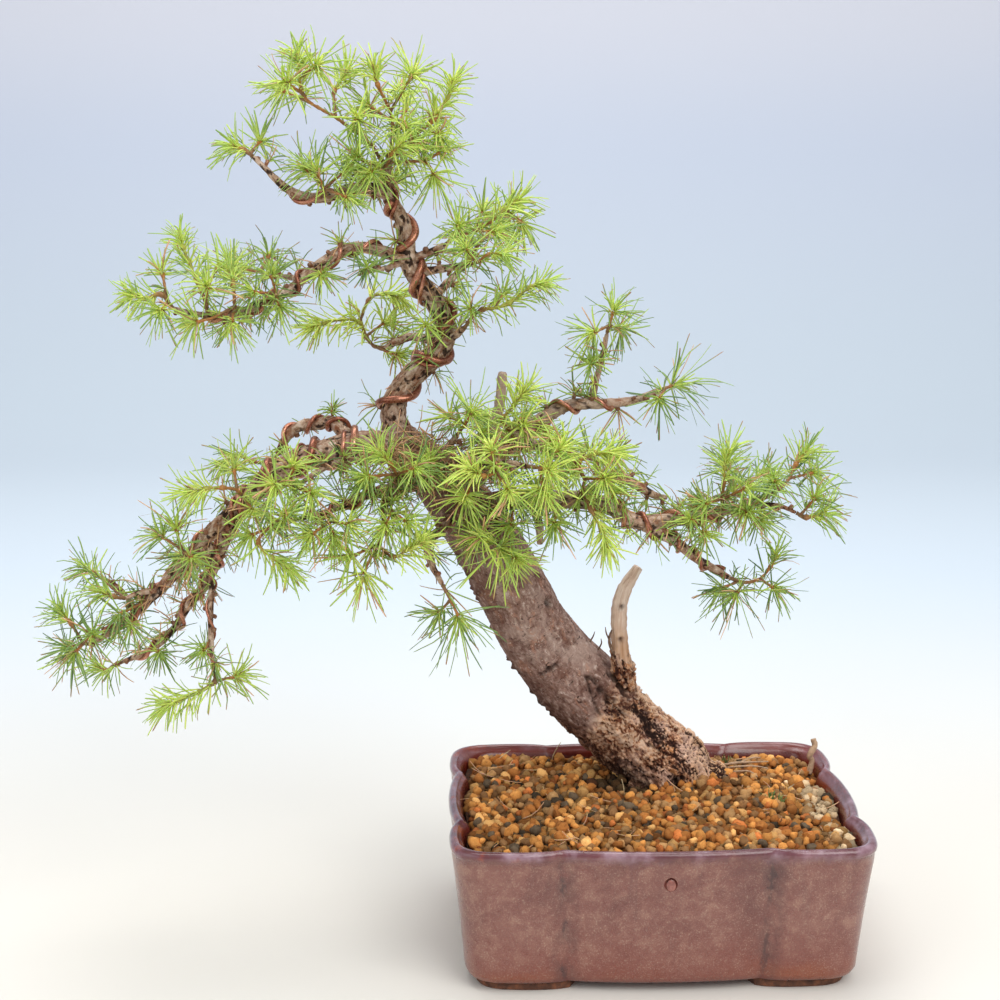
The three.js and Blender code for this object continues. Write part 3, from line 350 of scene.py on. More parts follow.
def raiseRing(fromInset, fromHeight, toInset, toHeight):
    rise = (0, 0, (toHeight - fromHeight) * mm)
    bpy.ops.mesh.extrude_edges_move(TRANSFORM_OT_translate={"value": rise})
    shares = (potHalves - toInset) / (potHalves - fromInset)
    bpy.ops.transform.resize(value=(*shares, 1), center_override=spot(0, 0, toHeight))


def potSection():  # [inset, height] up the outside, over the lip and down the inside
    top, base, taper, lip = pot["height"], pot["feet"], pot["taper"], pot["lip"]
    outside = [[taper + 3.6, base], [taper + 1.8, base + 0.3], [taper + 0.9, base + 1.3]]
    for height in range(base + 4, top - 9, 5):
        share = (height - base) / (top - 8 - base)
        bulge = 0.4 * math.sin(share * math.pi)
        outside.append([taper * (1 - share) + pot["neck"] * share + bulge, height])
    bead = []
    for step in range(12):
        angle = math.radians(-52 + 214 * step / 11)
        bead.append([2.75 - 2.5 * math.cos(angle), top - 3.1 + 3.0 * math.sin(angle)])
    inside = [[lip - 1.9, top - 2.8], [lip - 0.5, top - 5], [lip + 0.2, top - 8], [lip + taper * 0.5, 40],
              [lip + taper, base + pot["floor"]]]
    return outside + bead + inside


def makePot():
    section = potSection()
    body = startRing("pot_body", *section[0])
    bpy.ops.mesh.edge_face_add()
    for before, after in zip(section, section[1:]):
        raiseRing(*before, *after)
    bpy.ops.mesh.edge_face_add()
    endEdit()
    for sign in (-1, 1):
        deselect()
        place = spot(sign * pot["drainX"], 0, pot["feet"])
        bpy.ops.mesh.primitive_cylinder_add(vertices=32, radius=pot["drainRadius"] * mm, depth=40 * mm,
                                            location=place)
        drill = bpy.context.object
        addModifier(body, "BOOLEAN", operation="DIFFERENCE", object=drill, solver="EXACT")
        bpy.data.objects.remove(drill)
    markPot(body)
    smoothFaces(body)
    pick(body)
    bpy.ops.object.shade_smooth_by_angle(angle=math.radians(50))
    return body


def markPot(body):  # which places lie inside
    corners, _ = meshArrays(body)
    flat = (corners - potMiddle) / mm
    share = edgeShare(flat[:, 0], flat[:, 1])
    wall = 0.9 + 0.05 * flat[:, 2] / pot["height"]
    markPoints(body.data, inside=np.clip((wall - share) / 0.02, 0, 1))


def makeFoot(signX, signY):
    halves = potHalves - pot["footInset"]
    outer = [p for p in outline * halves / potHalves
             if p[0] * signX > pot["footEndX"] and p[1] * signY > pot["footEndY"]]
    inner = [p * (halves - pot["footBand"]) / halves for p in outer[::-1]]
    rim = outer + inner
    deselect()
    bpy.ops.mesh.primitive_circle_add(vertices=len(rim), radius=1, fill_type="NGON")
    foot = bpy.context.object
    for vertex, place in zip(foot.data.vertices, rim):
        vertex.co = spot(*place, 0.05)
    startEdit()
    bpy.ops.mesh.extrude_region_move(TRANSFORM_OT_translate={"value": (0, 0, 5.6 * mm)})
    endEdit()
    addModifier(foot, "BEVEL", width=1.1 * mm, segments=3, limit_method="ANGLE",
                angle_limit=math.radians(50))
    return foot


boss = {"x": 1.5, "y": -83.5, "z": 61.4, "radiusX": 3.4, "radiusZ": 4.3, "deep": 1.9, "lean": 5}


def bossShape(size, depth):
    deselect()
    bpy.ops.mesh.primitive_uv_sphere_add(segments=32, ring_count=16, radius=mm)
    shape = bpy.context.object
    shape.data.transform(Matrix.Diagonal((boss["radiusX"] * size, depth, boss["radiusZ"] * size, 1)))
    shape.data.transform(Matrix.Rotation(math.radians(-boss["lean"]), 4, "X"))
    return shape


def makeBoss(body):  # an oval dimple in the front wall, with a flat button of clay in it
    dimple = bossShape(1, boss["deep"])
    dimple.data.transform(Matrix.Translation(spot(boss["x"], boss["y"] - 0.3, boss["z"])))
    addModifier(body, "BOOLEAN", operation="DIFFERENCE", object=dimple, solver="EXACT")
    bpy.data.objects.remove(dimple)
    button = bossShape(0.74, 0.9)
    button.name = "pot_boss"
    button.data.transform(Matrix.Translation(spot(boss["x"] + 0.3, boss["y"] + 0.7, boss["z"] - 0.5)))
    smoothFaces(button)
    return button


def creaseLineAndShade(across, height, notch, half, wobble):
    # a broken dark line down the wall at a notch, with a wider band of painted shade around it, which leans
    # in with the wall
    top, taper, neck = pot["height"], pot["taper"], pot["neck"]
    slope = notch * (taper - neck) / half / top
    start = notch * (1 - taper / half)
    line = times(height, slope, start * mm)
    away = offBy(across, line)
    away = times(sums("SUBTRACT", wobble, 0.5), 0.011, away)
    thin = spread(away, 0.002, 0.0006, 0, 0.8)
    # the wide band is painted shade in the crease
    wide = spread(away, 0.011, 0.001, 0, 0.42)
    return sums("MAXIMUM", thin, wide)


def glazeMaterial():
    newMaterial("brownGlaze", {"Roughness": 0.3, "Coat Weight": 0.4, "Coat Roughness": 0.1, "IOR": 1.52})
    place = objectPlace()
    split = addNode("SeparateXYZ", {0: place})
    height = split.outputs[2]
    fromX = offBy(split.outputs[0], potMiddle[0])
    fromY = offBy(split.outputs[1], potMiddle[1])
    cloud = noiseOf(place, 22, 6, 0.62, 0.5)
    drift = noiseOf(objectPlace((1, 1, 0.22)), 48, 5, 0.62, 0.8)
    blotch = noiseOf(place, 150, 6, 0.68, 0.3)
    speck = noiseOf(place, 1300, 3, 0.7)
    mauve = ramp(cloud, (0.32, 102, 55, 50), (0.5, 121, 71, 63), (0.68, 134, 86, 75))
    grey = times(spread(blotch, 0.44, 0.66, 0, 0.6), spread(cloud, 0.38, 0.6, 0.3, 1))
    body = mixed(grey, mauve, paint(158, 116, 99))
    body = tinted(body, (92, 52, 52), drift, 0.54, 0.7, 0.5)
    lowEdge = times(cloud, 0.05, height)
    body = tinted(body, (126, 62, 48), lowEdge, 0.07, 0.03, 0.66)
    rust = times(spread(lowEdge, 0.042, 0.026), spread(fromX, 0.02, 0.085, 0.25, 0.85))
    body = mixed(rust, body, paint(140, 70, 38))
    grain = times(spread(speck, 0.5, 0.72), spread(blotch, 0.3, 0.62, 0.12, 0.5))
    body = mixed(grain, body, paint(196, 170, 150))
    pits = spread(speck, 0.38, 0.26, 0, 0.55)
    body = mixed(pits, body, paint(62, 32, 30))
    front = creaseLineAndShade(fromX, height, pot["notchX"], pot["width"] / 2, blotch)
    ends = creaseLineAndShade(fromY, height, pot["notchY"], pot["depth"] / 2, blotch)
    front = times(front, spread(fromY, 0.05, 0.06))
    ends = times(ends, spread(fromX, 0.08, 0.09))
    gaps = noiseOf(objectPlace((1, 1, 0.6)), 62, 4, 0.6)
    # painted shade and a dark line down the notch creases
    lineAndShade = times(sums("MAXIMUM", front, ends), spread(gaps, 0.4, 0.58, 0.12, 1.0))
    body = mixed(lineAndShade, body, paint(58, 36, 38))
    wavy = times(drift, 0.012, height)
    lip = spread(wavy, 0.0765, 0.0835)
    worn = spread(noiseOf(place, 75, 5, 0.68), 0.5, 0.64)
    left = spread(split.outputs[0], 0.06, 0.0, 0.12, 0.9)
    # purple lip glaze; its pale lilac patches are partly a painted sheen
    lipPurpleAndSheen = ramp(noiseOf(place, 60, 4), (0.32, 80, 30, 32), (0.5, 104, 58, 66), (0.74, 164, 134, 146))
    behind = spread(split.outputs[1], -0.03, 0.05, 0, 0.6)
    lipPurpleAndSheen = mixed(behind, lipPurpleAndSheen, paint(132, 66, 60))
    lipColor = mixed(times(worn, left), lipPurpleAndSheen, paint(142, 58, 34))
    color = mixed(lip, body, lipColor)
    inner = attributeOf("inside")
    oxblood = ramp(cloud, (0.35, 74, 18, 14), (0.65, 120, 40, 24))
    inner = times(inner, spread(height, 0.0775, 0.074))
    color = mixed(inner, color, oxblood)
    gloss = spread(blotch, 0.35, 0.7, 0.26, 0.44)
    gloss = times(lip, -0.22, gloss)
    relief = times(blotch, 1.5, speck)
    relief = times(drift, 2.0, relief)
    return toSurface(color, gloss, relief, 0.22, 0.0006)


def clayMaterial():
    newMaterial("bareClay", {"Roughness": 0.85})
    place = objectPlace()
    grain = noiseOf(place, 260, 6, 0.7)
    color = ramp(grain, (0.3, 58, 36, 28), (0.52, 104, 66, 48), (0.75, 150, 92, 60))
    return toSurface(color, None, grain, 0.6, 0.0006)


def bossMaterial():
    newMaterial("bossGlaze", {"Roughness": 0.3, "Coat Weight": 0.35})
    place = objectPlace()
    color = ramp(noiseOf(place, 500, 3), (0.35, 122, 70, 62), (0.65, 160, 100, 88))
    return toSurface(color)


potBody = makePot()
finishPiece(potBody, glazeMaterial(), "glaze", "pot")
feet = joinAll([makeFoot(x, y) for x in (-1, 1) for y in (-1, 1)], "pot_feet")
finishPiece(feet, clayMaterial(), "glaze", "pot")
finishPiece(makeBoss(potBody), bossMaterial(), "glaze")
print("pot made")


# Wood: branch after branch, [x, y, z, radius]

wood = {
    "trunk": [
        [22, 44, 42, 22], [16, 44, 76, 24.4], [9, 44, 83, 23.4], [-7, 44, 97, 21.9],
        [-17, 43, 108, 22.6], [-35, 41, 127, 23.2], [-60, 37, 158, 20.8], [-73, 33, 183, 19.6],
        [-88, 30, 212, 18.6], [-101, 27, 232, 17.6], [-113, 25, 248, 15.2], [-125, 24, 261, 11.5],
        [-134, 23, 272, 8.4], [-138, 22, 283, 6.9], [-136, 21, 294, 6.3], [-128, 20, 305, 6.1],
        [-119, 19, 313, 6.1], [-112, 18, 322, 5.9], [-110, 17, 333, 5.6], [-115, 16, 343, 5.2],
        [-123, 14, 355, 4.9], [-129, 13, 365, 4.8], [-130, 12, 375, 4.5], [-132, 10, 387, 3.9],
        [-136, 9, 395, 3.3], [-140, 7, 404, 2.9], [-137, 4, 421, 2.1]],
    "topLeft": [
        [-138, 8, 399, 3.4], [-147, 4, 403, 3.3], [-157, 0, 403, 3.1], [-168, -4, 399, 2.9],
        [-180, -8, 399, 2.6], [-190, -11, 404, 2.1], [-198, -13, 412, 1.7], [-205, -15, 419, 1.3]],
    "left": [
        [-127, 13, 365, 3.8], [-141, 6, 371, 3.4], [-157, 0, 373, 3.1], [-165, -4, 370, 3],
        [-180, -11, 360, 2.8], [-188, -14, 353, 2.7], [-203, -19, 346, 2.4], [-214, -22, 342, 2.1],
        [-228, -25, 341, 1.7], [-245, -29, 345, 1.2]],
    "deadTwig": [[-134, 10, 364, 1.6], [-145, -4, 362, 1.2], [-154, -12, 360, 0.8]],
    "right1": [[-127, 13, 367, 2.3], [-116, 13, 371, 2], [-110, 14, 374, 1.6]],
    "right2": [[-124, 13, 360, 2.6], [-112, 5, 362, 2.2], [-99, -3, 365, 1.6]],
    "right3": [[-113, 17, 324, 2.8], [-107, 10, 326, 2.5], [-100, 3, 332, 1.7]],
    "backMid": [[-112, 19, 322, 2.8], [-127, 38, 324, 2.6], [-136, 51, 320, 2.2], [-143, 60, 316, 1.6]],
    "upRight": [
        [-99, 25, 240, 6], [-87, 10, 261, 5.2], [-74, 2, 273, 4.6], [-61, -3, 284, 4],
        [-48, -5, 292, 3.4], [-32, -4, 293, 2.8], [-13, 0, 294, 2.3], [2, 5, 299, 1.6]],
    "upTwig": [[-35, -4, 293, 2.2], [-32, -5, 306, 1.8], [-29, -6, 318, 1.5], [-27, -7, 330, 1.2]],
    "right": [
        [-101, 24, 230, 7], [-79, 3, 241, 5.6], [-61, -12, 244, 5], [-44, -19, 245, 4.6],
        [-31, -22, 244, 4.4], [-22, -23, 240, 4.2], [-12, -22, 234, 4], [-3, -20, 234, 3.8],
        [11, -17, 234, 3.4], [21, -14, 235, 3], [36, -10, 237, 2.5], [50, -7, 241, 2],
        [60, -5, 245, 1.5]],
    "rightTip": [[49, -7, 240, 1.7], [64, -12, 240, 1.4], [72, -15, 237, 1.1]],
    "rightTwin": [
        [-44, -19, 245, 3.4], [-30, -11, 252, 3.2], [-20, -9, 255, 3], [-9, -9, 250, 2.6],
        [-1, -7, 245, 2], [6, -3, 243, 1.2]],
    "rightLow": [
        [-13, -22, 235, 3.2], [0, -22, 228, 3], [9, -20, 223, 2.8], [18, -17, 215, 2.5],
        [28, -13, 208, 2.2], [39, -9, 201, 1.6]],
    "rightBack": [[15, -15, 234, 2.2], [27, 4, 238, 2], [38, 20, 240, 1.4]],
    "leftMain": [
        [-122, 23, 257, 9.5], [-134, 14, 267, 9], [-147, 6, 269, 8.5], [-159, 0, 270, 8.1],
        [-175, -6, 267, 7.1], [-189, -10, 264, 6], [-202, -13, 256, 5], [-213, -16, 245, 4.4],
        [-225, -19, 235, 4], [-244, -23, 215, 3.4], [-262, -27, 196, 2.8], [-279, -31, 182, 2],
        [-292, -34, 174, 1.3]],
    "leftCascade": [
        [-219, -17, 240, 3.6], [-224, -10, 226, 3.4], [-231, -4, 210, 3.1], [-237, 0, 198, 2.8],
        [-247, 5, 185, 2.5], [-256, 9, 171, 2.2], [-270, 13, 158, 1.9], [-291, 18, 148, 1.2]],
    "hanging": [[-232, -20, 227, 2], [-231, -22, 207, 1.8], [-232, -24, 180, 1.6], [-231, -26, 156, 1.2]],
    "cascadeTwig": [[-259, -26, 200, 1.8], [-266, -33, 201, 1.5], [-273, -37, 199, 1.1]],
    "cascadeSpur": [[-269, -28, 190, 1.7], [-278, -24, 201, 1.4], [-288, -21, 207, 0.9]],
    "arch": [
        [-156, 2, 269, 5], [-164, 12, 276, 4], [-170, 18, 281, 3.6], [-178, 22, 279, 3.4],
        [-186, 25, 278, 3.1], [-194, 28, 273, 2.7], [-201, 31, 261, 1.8]],
    "archTwig": [[-150, 4, 266, 3], [-158, -12, 266, 2.4], [-169, -24, 265, 2], [-182, -33, 258, 1.4]],
    "lowTwig": [
        [-113, 24, 247, 4], [-129, 4, 248, 3], [-146, -12, 249, 2.6], [-158, -20, 245, 2.2],
        [-172, -28, 241, 1.8], [-184, -34, 239, 1.4]],
    "frontLow": [
        [-105, 24, 232, 3.5], [-113, -2, 226, 2.9], [-120, -14, 221, 2.4], [-118, -20, 213, 1.9],
        [-112, -25, 202, 1.4]],
    "centre": [
        [-110, 22, 246, 4.6], [-107, -6, 259, 3.8], [-98, -20, 265, 3.2], [-83, -31, 267, 2.6],
        [-69, -37, 266, 1.8]],
    "centreUp": [[-107, -4, 258, 2.8], [-109, -8, 269, 2.3], [-104, -15, 279, 1.6]],
    "frontLeft": [[-118, 22, 252, 4], [-128, 0, 257, 3.3], [-134, -14, 255, 2.7], [-138, -25, 247, 1.6]],
    "frontLeftLow": [[-136, -18, 253, 2.2], [-141, -21, 243, 1.9], [-142, -23, 236, 1.5]],
    "centreLow": [[-93, 22, 222, 3.5], [-86, 0, 230, 2.8], [-83, -12, 229, 2.3], [-83, -21, 224, 1.5]],
    "backCentre": [[-100, 30, 240, 5], [-86, 58, 256, 4], [-71, 76, 259, 3], [-56, 92, 253, 1.6]],
    "backLeft": [[-122, 26, 258, 4.5], [-133, 54, 262, 3.4], [-143, 70, 260, 2.4], [-151, 81, 257, 1.5]],
    "backUpper": [[-117, 15, 346, 2.6], [-108, 28, 354, 2.2], [-98, 40, 364, 1.5]],
    "backRight": [[-74, 2, 273, 3], [-57, 24, 266, 2.6], [-43, 40, 260, 2.1], [-31, 52, 255, 1.4]],
    "leftBack": [[-178, -5, 266, 3.6], [-190, 22, 254, 2.8], [-200, 40, 243, 2.3], [-209, 54, 232, 1.5]],
    "leftUpBack": [[-183, -11, 358, 1.9], [-192, 8, 358, 1.6], [-202, 22, 358, 1.2]],
    "jin": [
        [-10, 40, 121, 6.8], [-13.2, 28, 141, 6.1], [-15, 26, 154, 4.8], [-15.8, 25, 168, 4.5],
        [-15.4, 25, 178, 4.3], [-12.8, 24, 188, 4.1], [-8.6, 24, 195, 3.4], [-5.6, 24, 199.5, 2.8]],
    "stub": [[-104, 24, 244, 5], [-90, 16, 268, 3.6], [-83, 13, 285, 3.1], [-80, 11, 308, 2.5]],
    "downStub": [[-66, -9, 243, 3], [-62, -11, 232, 2.4], [-61, -11, 220, 1.8]],
}
bareWood = {"jin", "stub"}
soilMiddle = (19, 44)  # where the trunk stands in the soil


def throughPoints(points, step):  # a smooth line through the points, sampled every step
    knots = np.array(points, float)
    ends = np.vstack([2 * knots[0] - knots[1], knots, 2 * knots[-1] - knots[-2]])
    rows = []
    for before, start, stop, after in zip(ends, ends[1:], ends[2:], ends[3:]):
        count = max(1, math.ceil(np.linalg.norm((stop - start)[:3]) / step))
        for share in np.arange(count) / count:
            rows.append(0.5 * (2 * start + (stop - before) * share
                               + (2 * before - 5 * start + 4 * stop - after) * share ** 2
                               + (3 * start - before - 3 * stop + after) * share ** 3))
    rows.append(knots[-1])
    return np.array(rows)


def framesOf(line):  # along, side and up at each place, carried along without twist
    along = np.gradient(line[:, :3], axis=0)
    along /= np.linalg.norm(along, axis=1)[:, None]
    side = np.zeros_like(along)
    current = np.array([0.31, 0.89, 0.33])
    for index, direction in enumerate(along):
        current = current - direction * current.dot(direction)
        current /= np.linalg.norm(current)
        side[index] = current
    return along, side, np.cross(along, side)


def tubeArrays(line, sides, wobble=0.0):
    _, side, up = framesOf(line)
    angles = np.arange(sides) * 2 * math.pi / sides
    radii = line[:, 3:4] * (1 + wobble * draws.uniform(-1, 1, (len(line), sides)))
    outward = (np.cos(angles)[None, :, None] * side[:, None, :]
               + np.sin(angles)[None, :, None] * up[:, None, :])
    rings = line[:, None, :3] + radii[:, :, None] * outward
    corners = np.vstack([rings.reshape(-1, 3), line[:1, :3], line[-1:, :3]])
    faces = []
    for level in range(len(line) - 1):
        for index in range(sides):
            nextIndex = (index + 1) % sides
            a, b = level * sides + index, level * sides + nextIndex
            faces += [[a, b, b + sides], [a, b + sides, a + sides]]
    first, last = len(corners) - 2, len(corners) - 1
    final = (len(line) - 1) * sides
    for index in range(sides):
        nextIndex = (index + 1) % sides
        faces += [[first, nextIndex, index], [last, final + index, final + nextIndex]]
    return corners, np.array(faces)


def makeTube(name, rows, depth, roundness, steps, tapered):
    deselect()
    bpy.ops.curve.primitive_bezier_curve_add()
    tube = bpy.context.object
    tube.name = name
    knots = tube.data.splines[0].bezier_points
    knots.add(len(rows) - 2)
    for knot, (x, y, z, radius) in zip(knots, rows):
        knot.co = spot(x, y, z)
        knot.radius = radius if tapered else 1
        knot.handle_left_type = knot.handle_right_type = "AUTO"
    tube.data.bevel_depth = depth * mm
    tube.data.bevel_resolution = roundness
    tube.data.resolution_u = steps
    tube.data.use_fill_caps = True
    bpy.ops.object.convert(target="MESH")
    return bpy.context.object


bark = {
    "voxel": 0.85, "smoothing": 2, "kept": 0.57,
    "roots": [[42, 41, 76, 8, 32, 24], [34, 60, 75, 4, 16, 12], [-4, 62, 75, 4, 16, 12],
              [-4, 30, 74, 4, 14, 12]],
    "knots": [[-54.6, 21.6, 180.6, 3.3, 4.4], [-50.7, 16.8, 147, 1.7, 1.6], [-55.1, 17.4, 144, 2.1, 2.0],
              [-58.8, 19.3, 140.7, 1.7, 1.5], [-118.6, 10.8, 250.5, 5, 4.5],
              [18.3, 19.8, 78.1, 3.6, 4.5], [16.8, 19.9, 73.4, 3.8, 4.5], [-26.2, 20.1, 131, 2.3, 1.8],
              [-40, 23.8, 158.6, 1.6, 1.3], [-76, 52, 190, 4, 2.5], [-45, 62, 140, 4.5, 2],
              [-96, 45, 226, 3.4, 1.5], [-70, 15, 196, 1.8, 1.2], [-14.7, 20.9, 177.8, 1.7, 1.9],
              [-15.5, 21.1, 159.1, 1.9, 2.0]],
    "darkPatches": [[-11.5, 22.9, 118.5, 7, 0.75], [0.7, 26.5, 109.2, 6, 0.7], [-19.4, 19.9, 112.6, 6, 0.4],
               [-14.8, 29.7, 81.3, 9, 0.75], [-5.4, 27, 75.1, 10, 0.85], [17, 19.8, 76, 7, 0.85],
               [-22.3, 29.4, 143.1, 4, 0.7], [-3.9, 32, 123.1, 4, 0.55], [-26.2, 20.1, 131, 6, 0.5],
               [-10, 27, 136, 5, 0.5], [4.9, 21.7, 92.7, 6, 0.35]],
    "cracks": [[-31.3, 19.9, 138.5, -26.2, 20.2, 132.1, 1.7], [-26.2, 20.2, 132.1, -20, 20.7, 123.9, 2.1],
               [-20, 20.7, 123.9, -13.2, 21.7, 116.6, 2.8], [-20.7, 27.3, 139.1, -15.1, 27.2, 131.6, 1.3],
               [-15.1, 27.2, 131.6, -8.9, 27.2, 123.5, 1.6], [-56.7, 17.9, 142.8, -50.7, 16.9, 146.4, 1.1],
               [-33.5, 19.3, 139.3, -30.7, 18.4, 125.9, 0.8], [-30.7, 18.4, 125.9, -26.1, 19.1, 116.4, 0.8],
               [17.5, 20, 80, 15.2, 20, 70, 2.4],
               [2.2, 22.9, 98.2, 12, 24, 92, 1.1]],
    "bumps": 30, "bumpFrom": 106, "bumpTo": 216,
    "pale": {"upRight": 0.62, "upTwig": 0.6, "right": 0.25, "rightBack": 0.3, "deadTwig": 0.5,
             "downStub": 0.4},
}


def makeTree():
    limbs = [makeTube("limb_" + name, points, 1, 6 if points[0][3] > 10 else 3, 6, True)
             for name, points in wood.items()]
    for x, y, z, radius, length, width in bark["roots"]:
        deselect()
        bpy.ops.mesh.primitive_uv_sphere_add(segments=16, ring_count=10, radius=radius * mm,
                                             location=spot(x, y, z - radius * 0.4))
        root = bpy.context.object
        root.rotation_euler = (0, 0.3, math.atan2(y - soilMiddle[1], x - soilMiddle[0]))
        root.scale = (length / radius / 2, width / radius / 2, 1)
        limbs.append(root)
    pick(*limbs)
    bpy.ops.object.transform_apply(location=True, rotation=True, scale=True)
    tree = joinAll(limbs, "tree_wood")
    addModifier(tree, "REMESH", mode="VOXEL", voxel_size=bark["voxel"] * mm, adaptivity=0)
    addModifier(tree, "SMOOTH", factor=0.5, iterations=bark["smoothing"])
    return tree


def skeleton():  # place, radius, along, side and up vectors, length so far, bare, branch number
    rows = []
    for number, (name, points) in enumerate(wood.items()):
        line = throughPoints(points, 2)
        along, side, up = framesOf(line)
        steps = np.linalg.norm(np.diff(line[:, :3], axis=0), axis=1)
        lengths = np.concatenate([[0], np.cumsum(steps)])
        bare = 1 if name in bareWood else 0
        for index in range(len(line)):
            rows.append((*line[index], *along[index], *side[index], *up[index], lengths[index], bare,
                         number))
    return np.array(rows)


def nearestBone(places, bones):
    nearest = np.zeros(len(places), int)
    for start in range(0, len(places), 4000):
        block = places[start:start + 4000]
        gaps = np.linalg.norm(block[:, None] - bones[None, :, :3], axis=2) - bones[None, :, 3]
        nearest[start:start + 4000] = gaps.argmin(axis=1)
    return nearest


def smoothStep(value, low, high):
    share = np.clip((np.asarray(value, float) - low) / (high - low), 0, 1)
    return share * share * (3 - 2 * share)


def barkRelief(place, radius, old, worn):
    # how far a place stands out, in mm, how deep in a crack it lies and the tone of its flake
    x, y, z = place

    def at(squash, scale, *shift):
        return Vector((x, y, z * squash)) * scale + Vector(shift or (0, 0, 0))

    around = Vector((x, y, 0)).normalized()
    lump = noise.noise(at(0.6, 0.1, 5, 1, 9))
    knob = noise.noise(at(0.8, 0.28, 4, 8, 2))
    fine = noise.fractal(at(0.6, 0.6), 0.8, 2.1, 3)
    wrinkle = 1 - min(abs(noise.noise(Vector((around.x * 1.1, around.y * 1.1, z * 0.5)))) / 0.05, 1)
    tone = 0.5 + noise.noise(at(0.7, 0.4, 2, 7, 1))
    grown = radius * (0.1 * lump + 0.14 * knob + 0.09 * fine) * (1 - old) \
        + (0.6 * lump + 0.25 * fine - 0.28 * wrinkle) * old
    dent = (0.5 + 0.6 * fine + 0.6 * knob) * (1 - old) + (0.64 + 0.4 * fine - 0.3 * wrinkle) * old
    if worn < 0.02:
        return grown, dent, tone
    warp = noise.noise_vector(at(1, 0.35)) * 1.8
    near, centres = noise.voronoi(Vector(((x + warp.x) * 0.4, (y + warp.y) * 0.4, (z + warp.z) * 0.22)))
    crack = min((near[1] - near[0]) / 0.14, 1)
    flake = noise.cell(centres[0] * 9.7)
    ridge = noise.noise(Vector((around.x * 2.4, around.y * 2.4, z * 0.022)) + Vector((3, 3, 3)))
    small = noise.fractal(at(0.6, 1.1), 0.9, 2.2, 3)
    rough = 2.0 * ridge + 0.7 * (crack - 0.9) + 1.0 * (flake - 0.5) + 0.7 * small + 0.6 * lump
    deep = 0.34 + 0.24 * crack + 0.4 * small + 0.12 * flake + 0.5 * ridge
    return grown * (1 - worn) + rough * worn, dent * (1 - worn) + deep * worn, \
        tone * (1 - worn) + flake * worn


def sideBumps():  # small dark bumps along the lower left edge of the trunk
    line = throughPoints(wood["trunk"], 2)
    line = line[(line[:, 2] > bark["bumpFrom"]) & (line[:, 2] < bark["bumpTo"])]
    along = framesOf(line)[0]
    bumps = []
    for index in draws.choice(len(line), bark["bumps"]):
        outward = unit(np.cross(along[index], (0, 1, 0)) + (0, draws.uniform(-0.7, 0.25), 0))
        bumps.append((*(line[index, :3] + outward * line[index, 3]), draws.uniform(1.0, 2.1)))
    return bumps


